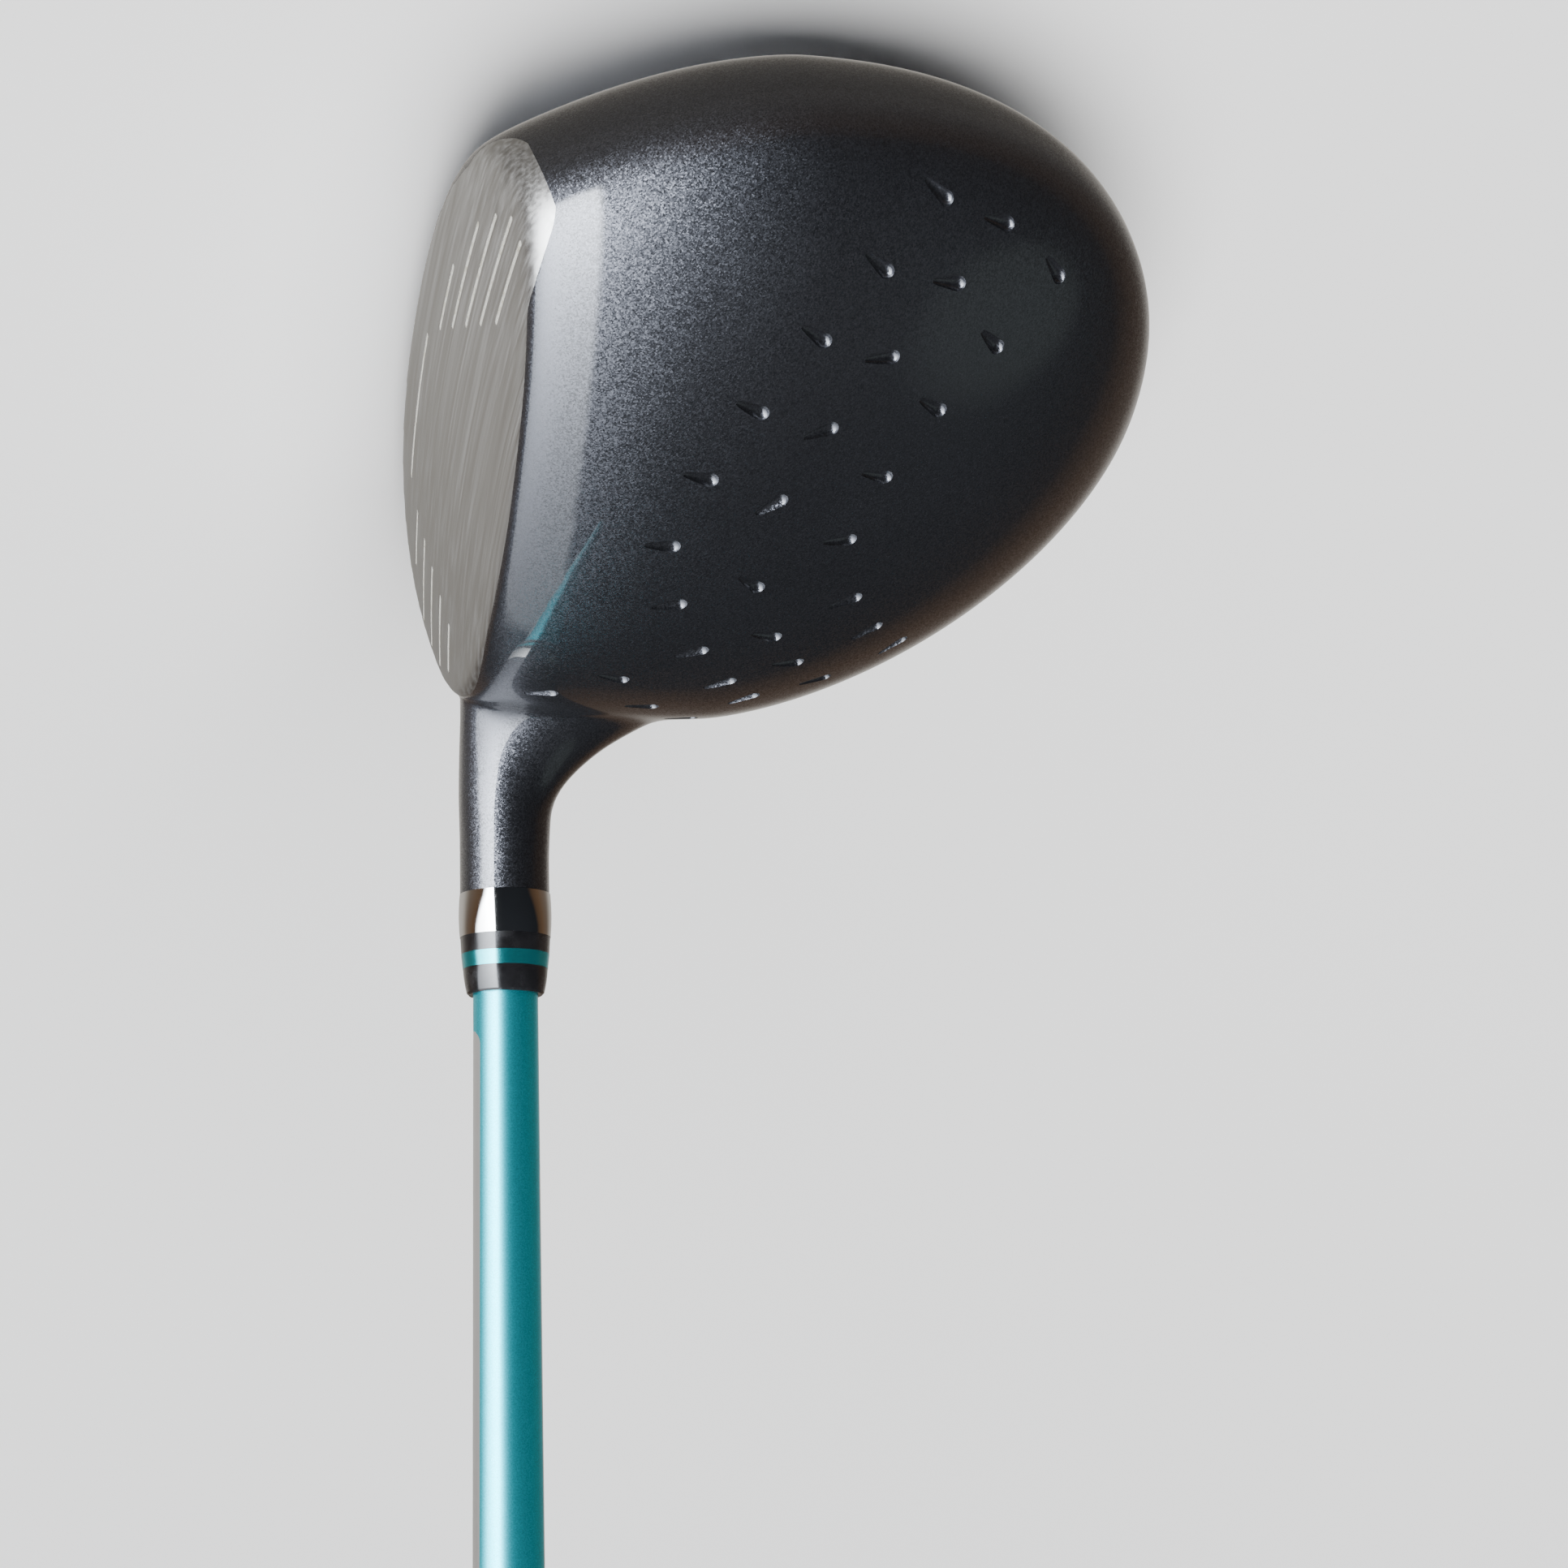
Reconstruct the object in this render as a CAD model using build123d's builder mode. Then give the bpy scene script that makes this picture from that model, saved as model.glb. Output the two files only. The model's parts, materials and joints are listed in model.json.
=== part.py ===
from build123d import *
import os
from math import cos, pi, radians, sin, tan

os.makedirs("parts", exist_ok=True)

# Golf driver, right-handed, standing in its address position.
# Millimetres. +Z is up and +X is the target direction. -Y is the toe and +Y is the heel, the player's side.
# The origin is the middle of the flat spot that the sole rests on.

# ---------------------------------------------------------------- driving dimensions: head
FACE_X = 42.8            # leading edge, ahead of the origin
TAIL_X = -65.0           # rearmost point
FACE_MARGIN = 8.4        # how far the raw head body runs ahead of the leading edge
WIDEST_X = -6.0          # where the head is widest, heel to toe
TOE_REACH = 62.0         # toe, from the middle plane, at the widest place
HEEL_REACH = 56.0        # heel, from the middle plane, at the widest place
TOE_PULL = 0.47          # share of the toe reach lost at the front
HEEL_PULL = 0.17         # share of the heel reach lost at the front
TAIL_Y = -5.8            # the tail lies a little towards the toe
CROWN_TOP = 55.7         # highest point of the crown
CREST_X = 10.4           # where the crown is highest
CROWN_DROP = 10.9        # how far the crown line falls towards the front
SKIRT_FRONT = 28.1       # height of the widest line at the front
SKIRT_REAR = 24.7        # height of the widest line at the tail
SOLE_LOW_X = 8.0         # lowest point of the sole
SOLE_RISE = 6.9          # how far the sole line rises towards the front
SOLE_FLAT = 0.4          # camber cut away to make the flat spot the club rests on
FACE_RADIUS = 356.0      # bulge and roll of the face
LOFT_ANGLE = 11.0        # loft of the face, in degrees
FACE_YAW = 1.0           # the face looks this far towards the heel side, in degrees
FACE_MIDDLE_Z = 29.1     # height of the face centre
FACE_THICK = 3.2
FACE_RIM_ROUND = 2.2     # round of the face plate's rim
CROWN_WALL = 1.0
PARTING_DROP = 2.0       # the shells part this far under the widest line

# ---------------------------------------------------------------- driving dimensions: hosel and shaft
LIE_ANGLE = 59.0         # shaft to ground, in degrees
HOSEL_X = 21.9           # where the shaft line meets the ground
HOSEL_Y = 33.4
HOSEL_R = 6.85
HOSEL_END = 68.4         # along the shaft line, from the ground
TUBE_R = 7.4             # hosel tube inside the head
SLEEVE_R = 5.8
FIT_GAP = 0.05           # radial gap of the running fits
COLLAR_LENGTH = 6.6      # bright collar of the adapter sleeve
COLLAR_BARREL = 0.15     # how far the collar swells in its middle
FERRULE_BASE = 2.6
TRIM_RING = 2.2
FERRULE_TIP = 3.9
FERRULE_END_R = 5.85
SEAT_U = 14.0            # seat of the sleeve screw's head
SEAT_THICK = 3.0
SLEEVE_FOOT = 36.0       # lower end of the adapter sleeve
SHAFT_TIP = 44.0         # lower end of the shaft
SHAFT_TIP_R = 4.9
SHAFT_MID_R = 5.5
SHAFT_MID_U = 200.0
SHAFT_BUTT_R = 7.6
SHAFT_WALL = 1.0
CLUB_LENGTH = 1143.0     # along the shaft line, from the ground to the end of the grip
GRIP_LENGTH = 268.0
GRIP_MOUTH_R = 9.6
GRIP_END_R = 13.4
TAPE_THICK = 0.35
CAP_THICK = 4.0
VENT_R = 2.0             # breather hole in the grip cap
SPLINE_TEETH = 8         # between the sleeve and the hosel, under the collar
SPLINE_DEPTH = 4.0

# ---------------------------------------------------------------- driving dimensions: screws and weight
SCREW_R = 2.5            # sleeve screw, M5
SCREW_HEAD_R = 4.2
SCREW_HEAD = 3.6
WASHER_THICK = 0.8
WEIGHT_AT = (-42.0, -4.5, 7.0)
WEIGHT_TILT = 19.0       # degrees between the weight's axis and straight down
WEIGHT_R = 8.0
WEIGHT_THICK = 6.0
WEIGHT_GAP = 0.3
WEIGHT_SUNK = 0.9        # the weight's face lies this far below the sole
WEIGHT_SCREW_R = 2.0     # M4
WEIGHT_SCREW_HEAD_R = 3.4
WEIGHT_SCREW_HEAD = 2.6
WEIGHT_SCREW_TIP = 12.3  # depth of the screw's tip under the sole
BOSS_WALL = 2.2
BOSS_DEPTH = 13.4
BADGE_AT = (-21.0, -3.0, 1.7)
BADGE_TILT = 9.5
BADGE_R = 9.0
BADGE_THICK = 0.5
BADGE_POCKET = 0.65
BADGE_RELIEF = 0.15     # depth of the pattern on the badge

# ---------------------------------------------------------------- driving dimensions: score lines and dimples
SCORE_LOW_Z = 12.0       # height of the lowest score line
SCORE_PITCH = 4.5
SCORE_WIDTH = 0.9
SCORE_DEPTH = 0.4
SCORE_PAINT_SUNK = 0.08  # the paint lies this far below the face
SCORE_MIDDLE = (-2.0, 27.0)                                       # the lowest line runs across the middle
SCORE_TOE_INNER, SCORE_TOE_STEP = -7.0, -4.4                      # inner ends on the toe side
SCORE_TOE_OUTER = (-19.5, -31.5, -37.0, -40.5, -40.0)
SCORE_HEEL_INNER, SCORE_HEEL_STEP = 29.5, 1.45
SCORE_HEEL_OUTER = (41.0, 48.5, 49.5, 49.0, 45.5)
DIMPLE_LENGTH = 4.4
DIMPLE_R = 0.85          # at its deep end
DIMPLE_TAIL_R = 0.25
DIMPLE_HEAD_LIFT = -0.1  # the ends' centres lie this far above the crown, or below it
DIMPLE_TAIL_LIFT = 0.1
DIMPLE_MIDDLE_Y = -3.5   # the rows bend back from this line on both sides

LIE = radians(LIE_ANGLE)
SHAFT_DIR = (0, cos(LIE), sin(LIE))
SHAFT_FOOT = (HOSEL_X, HOSEL_Y, 0)
SHAFT_AXIS = Axis(SHAFT_FOOT, SHAFT_DIR)
# a plane through the shaft line: local x is the radius, local y is the distance from the ground
SHAFT_SECTION = Plane(origin=SHAFT_FOOT, x_dir=(1, 0, 0), z_dir=(0, -sin(LIE), cos(LIE)))
FRONT_X = FACE_X + FACE_MARGIN
LOFT = radians(LOFT_ANGLE)
YAW = radians(FACE_YAW)
FACE_NORMAL = Vector(cos(LOFT) * cos(YAW), cos(LOFT) * sin(YAW), sin(LOFT))
FACE_MIDDLE = Vector(FACE_X - FACE_MIDDLE_Z * tan(LOFT) - 0.5, 0, FACE_MIDDLE_Z)
FACE_CENTRE = FACE_MIDDLE - FACE_NORMAL * FACE_RADIUS
COLLAR_END = HOSEL_END + COLLAR_LENGTH
BASE_END = COLLAR_END + FERRULE_BASE
RING_END = BASE_END + TRIM_RING
FERRULE_END = RING_END + FERRULE_TIP
GRIP_START = CLUB_LENGTH - GRIP_LENGTH
SHAFT_END = CLUB_LENGTH - CAP_THICK - 1
FERRULE_BORE_R = SHAFT_TIP_R + FIT_GAP


def shaft_plane(u):
    """Plane square to the shaft line at u; its local y points to the heel side."""
    return Plane(origin=SHAFT_FOOT, x_dir=(1, 0, 0), z_dir=SHAFT_DIR).offset(u)


def shaft_r(u):
    """Outer radius of the shaft: a parallel tip, then a quick and a slow taper."""
    if u <= FERRULE_END:
        return SHAFT_TIP_R
    if u <= SHAFT_MID_U:
        share = (u - FERRULE_END) / (SHAFT_MID_U - FERRULE_END)
        return SHAFT_TIP_R + (SHAFT_MID_R - SHAFT_TIP_R) * share
    share = (u - SHAFT_MID_U) / (SHAFT_END - SHAFT_MID_U)
    return SHAFT_MID_R + (SHAFT_BUTT_R - SHAFT_MID_R) * share


# ---------------------------------------------------------------- the head's outer form
def fade(share, power, root):
    return max(1 - share**power, 0) ** root


def head_station(x, wall=0.0):
    """Toe, heel, widest height, crown and sole of the head at one place along X, moved in by a wall."""
    tail = TAIL_X + 1.5 * wall
    back = min(max((WIDEST_X - x) / (WIDEST_X - tail), 0), 1)
    ahead = max((x - WIDEST_X) / (FRONT_X - WIDEST_X), 0)
    shift = TAIL_Y * back**2
    toe = shift - (TOE_REACH - wall) * fade(back, 2.23, 0.49) * (1 - TOE_PULL * ahead**1.65)
    heel = shift + (HEEL_REACH - wall) * fade(back, 1.58, 0.52) * (1 - HEEL_PULL * ahead**2)
    skirt = SKIRT_FRONT + (SKIRT_REAR - SKIRT_FRONT) * (FRONT_X - x) / (FRONT_X - TAIL_X)
    if x > CREST_X:
        crown = CROWN_TOP - wall - CROWN_DROP * ((x - CREST_X) / (FRONT_X - CREST_X)) ** 2
    else:
        crown = skirt + (CROWN_TOP - wall - skirt) * fade((CREST_X - x) / (CREST_X - tail), 1.95, 0.67)
    if x > SOLE_LOW_X:
        sole = SOLE_RISE * ((x - SOLE_LOW_X) / (FRONT_X - SOLE_LOW_X)) ** 2 - SOLE_FLAT + wall
    else:
        sole = skirt - (skirt + SOLE_FLAT - wall) * fade((SOLE_LOW_X - x) / (SOLE_LOW_X - tail), 2.22, 0.6)
    return toe, heel, skirt, crown, sole


def head_section(x, wall=0.0, count=28):
    """Points of the closed section curve at x: a full crown arc over a flatter sole arc."""
    toe, heel, skirt, crown, sole = head_station(x, wall)
    middle = (toe + heel) / 2
    half = (heel - toe) / 2
    points = []
    for step in range(count):
        angle = 2 * pi * step / count
        side = 1 if cos(angle) >= 0 else -1
        if sin(angle) >= 0:
            across = side * abs(cos(angle)) ** (2 / 1.97)
            height = (crown - skirt) * sin(angle) ** (2 / 1.95)
        else:
            across = side * abs(cos(angle)) ** (2 / 2.7)
            height = (sole - skirt) * (-sin(angle)) ** (2 / 2.8)
        points.append((middle + half * across, skirt + height))
    return points


def head_sections(wall=0.0, count=17):
    """Section faces from the front to the tail, closer together towards the tail."""
    faces = []
    last = TAIL_X + 1.5 * wall
    for step in range(count):
        x = FRONT_X + (last - FRONT_X) * sin(step / count * pi / 2)
        with BuildSketch(Plane(origin=(x, 0, 0), x_dir=(0, 1, 0), z_dir=(1, 0, 0))) as section:
            with BuildLine():
                Spline(*head_section(x, wall), periodic=True)
            make_face()
        faces.append(section.sketch)
    toe, heel, skirt, crown, sole = head_station(last, wall)
    return faces + [Vertex(last, toe, skirt)]


# the neck between head and hosel: half widths across and along the face, and shift from the shaft line
NECK_STATIONS = {
    HOSEL_END: (HOSEL_R, HOSEL_R, 0, 0),
    60.0: (HOSEL_R, HOSEL_R, 0, 0),
    53.0: (7.6, 7.2, -0.6, -0.1),
    46.0: (10.9, 8.8, -3.9, -0.8),
    38.0: (16.9, 11.2, -9.7, -3.4),
    24.0: (15.7, 12.0, -8.5, -5.6),
    10.0: (9.5, 9.0, -2.4, -4.0),
}


with BuildPart() as raw_form:
    loft(sections=head_sections())
    split(bisect_by=Plane.XY, keep=Keep.TOP)

with BuildPart() as neck_form:
    neck_rings = []
    for u, (half_x, half_y, shift_x, shift_y) in NECK_STATIONS.items():
        with BuildSketch(shaft_plane(u)) as ring:
            with Locations((shift_x, shift_y)):
                if half_x > half_y:
                    Ellipse(half_x, half_y)
                else:
                    Circle(half_x)
        neck_rings.append(ring.sketch)
    loft(sections=neck_rings)
    split(bisect_by=Plane.XY, keep=Keep.TOP)


def revolved(points):
    """Turn a closed profile of (radius, distance along the shaft line) points about the shaft line."""
    with BuildPart() as turned:
        with BuildSketch(SHAFT_SECTION):
            with BuildLine():
                Polyline(*points, close=True)
            make_face()
        revolve(axis=SHAFT_AXIS)
    return turned.part


def turned_rod(radius, low, high):
    return revolved([(0, low), (radius, low), (radius, high), (0, high)])


def sole_plane(place, tilt):
    """Plane on the sole at a place, looking out of it: straight down, turned towards the tail by tilt."""
    return Plane(origin=place, x_dir=(0, 1, 0), z_dir=(-sin(radians(tilt)), 0, -cos(radians(tilt))))


WEIGHT_PLANE = sole_plane(WEIGHT_AT, WEIGHT_TILT)
BADGE_PLANE = sole_plane(BADGE_AT, BADGE_TILT)
WEIGHT_FLOOR = WEIGHT_SUNK + WEIGHT_THICK
WEIGHT_SEAT = WEIGHT_SUNK + 3    # depth of the seat under the screw's head

# ---------------------------------------------------------------- face plate and its painted score lines
score_levels = [(SCORE_LOW_Z, *SCORE_MIDDLE)]
for row, (toe_end, heel_end) in enumerate(zip(SCORE_TOE_OUTER, SCORE_HEEL_OUTER), start=1):
    level = SCORE_LOW_Z + SCORE_PITCH * row
    score_levels.append((level, toe_end, SCORE_TOE_INNER + SCORE_TOE_STEP * (row - 1)))
    score_levels.append((level, SCORE_HEEL_INNER + SCORE_HEEL_STEP * (row - 1), heel_end))

with BuildPart() as score_grooves:
    with BuildSketch(Plane.YZ.offset(FACE_X - 20)):
        for level, start, end in score_levels:
            with Locations(((start + end) / 2, level)):
                SlotOverall(end - start, SCORE_WIDTH)
    extrude(amount=30)
    with Locations(FACE_CENTRE):
        Sphere(FACE_RADIUS - SCORE_DEPTH, mode=Mode.SUBTRACT)

with BuildPart() as score_line_paint:
    add(score_grooves.part)
    with Locations(FACE_CENTRE):
        Sphere(FACE_RADIUS - SCORE_PAINT_SUNK, mode=Mode.INTERSECT)

with BuildPart() as face_plate:
    add(raw_form.part)
    with Locations(FACE_CENTRE):
        Sphere(FACE_RADIUS, mode=Mode.INTERSECT)
    fillet(face_plate.faces().filter_by(GeomType.SPHERE).edges(), FACE_RIM_ROUND)
    with Locations(FACE_CENTRE):
        Sphere(FACE_RADIUS - FACE_THICK, mode=Mode.SUBTRACT)
    add(neck_form.part, mode=Mode.SUBTRACT)
    add(score_grooves.part, mode=Mode.SUBTRACT)

# ---------------------------------------------------------------- the hollow head casting, in two shells
with BuildPart() as weight_boss:
    with BuildSketch(WEIGHT_PLANE.offset(2)):
        Circle(WEIGHT_R + WEIGHT_GAP + BOSS_WALL)
    extrude(amount=-2 - BOSS_DEPTH)

with BuildPart() as cavity:
    loft(sections=head_sections(CROWN_WALL))
    with Locations(FACE_CENTRE):
        Sphere(FACE_RADIUS - FACE_THICK, mode=Mode.INTERSECT)
    add(turned_rod(TUBE_R, 0, HOSEL_END), mode=Mode.SUBTRACT)
    add(weight_boss.part, mode=Mode.SUBTRACT)

with BuildPart() as hosel_bores:
    add(turned_rod(SLEEVE_R + FIT_GAP, SEAT_U + SEAT_THICK, HOSEL_END + 1))
    add(turned_rod(SCREW_R + 0.4, SEAT_U - 1, SEAT_U + SEAT_THICK + 1))
    add(turned_rod(SCREW_HEAD_R + 0.7, -10, SEAT_U))
    with BuildSketch(shaft_plane(HOSEL_END + 1)):
        with PolarLocations(SLEEVE_R, SPLINE_TEETH):
            Rectangle(1.2, 2.0)
    extrude(amount=-SPLINE_DEPTH - 1.2)

with BuildPart() as weight_bores:
    with BuildSketch(WEIGHT_PLANE.offset(6)):
        Circle(WEIGHT_R + WEIGHT_GAP)
    extrude(amount=-6 - WEIGHT_FLOOR)
    with BuildSketch(WEIGHT_PLANE):
        Circle(WEIGHT_SCREW_R + FIT_GAP)
    extrude(amount=1 - BOSS_DEPTH)

with BuildPart() as casting:
    add(raw_form.part)
    with Locations(FACE_CENTRE):
        Sphere(FACE_RADIUS - FACE_THICK, mode=Mode.INTERSECT)
    add(neck_form.part)
    add(cavity.part, mode=Mode.SUBTRACT)
    add(hosel_bores.part, mode=Mode.SUBTRACT)
    add(weight_bores.part, mode=Mode.SUBTRACT)


# ---------------------------------------------------------------- crown dimples
def crown_z(x, y):
    """Height of the crown over a place in plan."""
    toe, heel, skirt, crown, sole = head_station(x)
    along = abs((2 * y - toe - heel) / (heel - toe)) ** 1.97
    return skirt + (crown - skirt) * max(1 - along, 0) ** (1 / 1.95)


def dimple_rows():
    """Middle of each dimple in plan, and its heading in degrees from straight back to the middle line."""
    row_shapes = [
        # front point, slope, bend, offsets on the toe side and the heel side, heading and its change per mm
        (10.0, 0.154, 0.0089, (0, 12.6, 24.0, 34.9, 44.0, 51.8), (12.4, 24.2, 33.9, 40.4), 0.0, 0.95),
        (-3.0, 0.100, 0.0105, (7.8, 20.3, 31.3, 41.0, 47.5), (7.8, 20.6, 29.2, 37.3), -48.0, 1.35),
        (-16.2, 0.100, 0.0135, (0, 11.9, 22.8, 31.6, 39.6), (14.0, 23.4, 31.0), 0.0, 1.40),
    ]
    places = []
    for front, slope, bend, toe_offsets, heel_offsets, heading, turn in row_shapes:
        sides = [(-1, offset) for offset in toe_offsets] + [(1, offset) for offset in heel_offsets]
        for side, offset in sides:
            x = front - slope * offset - bend * offset**2
            places.append((x, DIMPLE_MIDDLE_Y + side * offset, side * (heading + turn * offset)))
    # the short rows on the heel side, in front of the long ones
    places += [(11.2, 28.3, -21.0), (4.6, 38.8, -3.0), (-3.5, 46.5, 4.0)]
    places += [(20.4, 35.6, 25.0), (13.2, 48.0, 10.0)]
    return places


def dimple_plane(x, y, heading):
    """Plane on the crown whose z runs from a dimple's tail to its head, and whose x points out."""
    step = 0.5
    slope_x = (crown_z(x + step, y) - crown_z(x - step, y)) / (2 * step)
    slope_y = (crown_z(x, y + step) - crown_z(x, y - step)) / (2 * step)
    outward = Vector(-slope_x, -slope_y, 1).normalized()
    turn = radians(heading)
    ahead = Vector(-cos(turn), -sin(turn), 0)
    ahead = (ahead - outward * ahead.dot(outward)).normalized()
    origin = Vector(x, y, crown_z(x, y)) - ahead * (DIMPLE_LENGTH / 2)
    return Plane(origin=origin, x_dir=outward, z_dir=ahead)


with BuildPart() as dimples:
    for x, y, heading in dimple_rows():
        tail_plane = dimple_plane(x, y, heading)
        head_plane = tail_plane.offset(DIMPLE_LENGTH)
        with BuildSketch(tail_plane) as tail_end:
            with Locations((DIMPLE_TAIL_LIFT, 0)):
                Circle(DIMPLE_TAIL_R)
        with BuildSketch(head_plane) as head_end:
            with Locations((DIMPLE_HEAD_LIFT, 0)):
                Circle(DIMPLE_R)
        loft(sections=[tail_end.sketch, head_end.sketch])

PARTING_PLANE = Plane(
    origin=(FRONT_X, 0, SKIRT_FRONT - PARTING_DROP),
    x_dir=(FRONT_X - TAIL_X, 0, SKIRT_FRONT - SKIRT_REAR),
    z_dir=(SKIRT_REAR - SKIRT_FRONT, 0, FRONT_X - TAIL_X),
)

with BuildPart() as upper_shell:
    add(casting.part)
    split(bisect_by=PARTING_PLANE, keep=Keep.TOP)
    add(dimples.part, mode=Mode.SUBTRACT)

with BuildPart() as sole_shell:
    add(casting.part)
    split(bisect_by=PARTING_PLANE, keep=Keep.BOTTOM)
    with BuildSketch(BADGE_PLANE.offset(3)):
        Circle(BADGE_R + FIT_GAP)
    extrude(amount=-3 - BADGE_POCKET, mode=Mode.SUBTRACT)

with BuildPart() as sole_badge:
    with BuildSketch(BADGE_PLANE.offset(-BADGE_POCKET)):
        Circle(BADGE_R)
    extrude(amount=BADGE_THICK)
    with BuildSketch(BADGE_PLANE.offset(BADGE_THICK - BADGE_POCKET)):
        Circle(BADGE_R - 1.2)
        Circle(BADGE_R - 1.8, mode=Mode.SUBTRACT)
        RegularPolygon(4.0, 6)
    extrude(amount=-BADGE_RELIEF, mode=Mode.SUBTRACT)

with BuildPart() as damping_pad:
    with Locations((16, 14, 0)):
        Cylinder(9, 2.6, align=(Align.CENTER, Align.CENTER, Align.MIN))
    add(cavity.part, mode=Mode.INTERSECT)

# ---------------------------------------------------------------- adapter sleeve, its screw and the ferrule
with BuildPart() as adapter_sleeve:
    with BuildSketch(SHAFT_SECTION):
        with BuildLine():
            Polyline(
                (SCREW_R + FIT_GAP, SLEEVE_FOOT),
                (SLEEVE_R - 0.6, SLEEVE_FOOT),
                (SLEEVE_R, SLEEVE_FOOT + 0.6),
                (SLEEVE_R, HOSEL_END),
                (HOSEL_R, HOSEL_END),
            )
            ThreePointArc(
                (HOSEL_R, HOSEL_END),
                (HOSEL_R + COLLAR_BARREL, HOSEL_END + COLLAR_LENGTH * 0.6),
                (HOSEL_R, COLLAR_END),
            )
            Polyline(
                (HOSEL_R, COLLAR_END),
                (SHAFT_TIP_R + FIT_GAP, COLLAR_END),
                (SHAFT_TIP_R + FIT_GAP, SHAFT_TIP),
                (SCREW_R + FIT_GAP, SHAFT_TIP),
                (SCREW_R + FIT_GAP, SLEEVE_FOOT),
            )
        make_face()
    revolve(axis=SHAFT_AXIS)
    with BuildSketch(shaft_plane(HOSEL_END)):
        with PolarLocations(SLEEVE_R - FIT_GAP, SPLINE_TEETH):
            Rectangle(1.0, 1.8)
    extrude(amount=-SPLINE_DEPTH)

HEAD_LOW = SEAT_U - WASHER_THICK - SCREW_HEAD
with BuildPart() as sleeve_screw:
    add(turned_rod(SCREW_HEAD_R, HEAD_LOW, HEAD_LOW + SCREW_HEAD))
    chamfer(sleeve_screw.faces().sort_by(SHAFT_AXIS)[0].edges(), 0.4)
    add(turned_rod(SCREW_R, HEAD_LOW + SCREW_HEAD, SHAFT_TIP - 0.6))
    chamfer(sleeve_screw.faces().sort_by(SHAFT_AXIS)[-1].edges(), 0.5)
    with BuildSketch(shaft_plane(HEAD_LOW)):
        RegularPolygon(2.3, 6)
    extrude(amount=2.4, mode=Mode.SUBTRACT)

with BuildPart() as screw_washer:
    low, high = SEAT_U - WASHER_THICK, SEAT_U
    add(revolved([(SCREW_R + 0.2, low), (SCREW_HEAD_R, low), (SCREW_HEAD_R, high), (SCREW_R + 0.2, high)]))

with BuildPart() as screw_retainer:
    low, high = SEAT_U + SEAT_THICK + 0.2, SEAT_U + SEAT_THICK + 1.2
    add(revolved([(SCREW_R, low), (SCREW_R + 1.8, low), (SCREW_R + 1.8, high), (SCREW_R, high)]))

with BuildPart() as ferrule_base:
    inside = [(FERRULE_BORE_R, BASE_END), (FERRULE_BORE_R, COLLAR_END)]
    add(revolved([(HOSEL_R - 0.05, COLLAR_END), (HOSEL_R - 0.2, BASE_END)] + inside))

with BuildPart() as ferrule_trim_ring:
    inside = [(FERRULE_BORE_R, RING_END), (FERRULE_BORE_R, BASE_END)]
    add(revolved([(HOSEL_R - 0.18, BASE_END), (HOSEL_R - 0.42, RING_END)] + inside))

TIP_BASE_R = HOSEL_R - 0.45
with BuildPart() as ferrule_tip:
    with BuildSketch(SHAFT_SECTION):
        with BuildLine():
            Polyline((FERRULE_BORE_R, FERRULE_END), (FERRULE_BORE_R, RING_END), (TIP_BASE_R, RING_END))
            ThreePointArc(
                (TIP_BASE_R, RING_END),
                ((TIP_BASE_R + FERRULE_END_R) / 2 + 0.06, RING_END + FERRULE_TIP / 2),
                (FERRULE_END_R, FERRULE_END - 0.3),
            )
            Polyline(
                (FERRULE_END_R, FERRULE_END - 0.3),
                (FERRULE_END_R - 0.3, FERRULE_END),
                (FERRULE_BORE_R, FERRULE_END),
            )
        make_face()
    revolve(axis=SHAFT_AXIS)

# ---------------------------------------------------------------- shaft and grip
with BuildPart() as shaft:
    outside = [(shaft_r(u), u) for u in (SHAFT_TIP, FERRULE_END, SHAFT_MID_U, SHAFT_END)]
    inside = [(radius - SHAFT_WALL, u) for radius, u in reversed(outside)]
    add(revolved(outside + inside))

with BuildPart() as tip_plug:
    add(turned_rod(SHAFT_TIP_R - SHAFT_WALL - FIT_GAP, SHAFT_TIP + 1, SHAFT_TIP + 9))

TAPE_LOW, TAPE_HIGH = GRIP_START + 3, SHAFT_END - 3
with BuildPart() as grip_tape:
    ends = [(shaft_r(TAPE_LOW), TAPE_LOW), (shaft_r(TAPE_HIGH), TAPE_HIGH)]
    add(revolved(ends + [(radius + TAPE_THICK, u) for radius, u in reversed(ends)]))

GRIP_TOP = CLUB_LENGTH - CAP_THICK
with BuildPart() as grip:
    with BuildSketch(SHAFT_SECTION):
        with BuildLine():
            Polyline(
                (shaft_r(GRIP_TOP) + TAPE_THICK, GRIP_TOP),
                (shaft_r(GRIP_START) + TAPE_THICK, GRIP_START),
                (GRIP_MOUTH_R - 0.5, GRIP_START),
                (GRIP_MOUTH_R, GRIP_START + 0.6),
                (GRIP_MOUTH_R, GRIP_START + 4),
                (GRIP_MOUTH_R - 0.3, GRIP_START + 4.6),
            )
            Spline(
                (GRIP_MOUTH_R - 0.3, GRIP_START + 4.6),
                (GRIP_MOUTH_R + 0.7, GRIP_START + GRIP_LENGTH * 0.35),
                (GRIP_MOUTH_R + 2.0, GRIP_START + GRIP_LENGTH * 0.75),
                (GRIP_END_R - 0.3, GRIP_TOP - 6),
            )
            Polyline(
                (GRIP_END_R - 0.3, GRIP_TOP - 6),
                (GRIP_END_R, GRIP_TOP),
                (shaft_r(GRIP_TOP) + TAPE_THICK, GRIP_TOP),
            )
        make_face()
    revolve(axis=SHAFT_AXIS)

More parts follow.
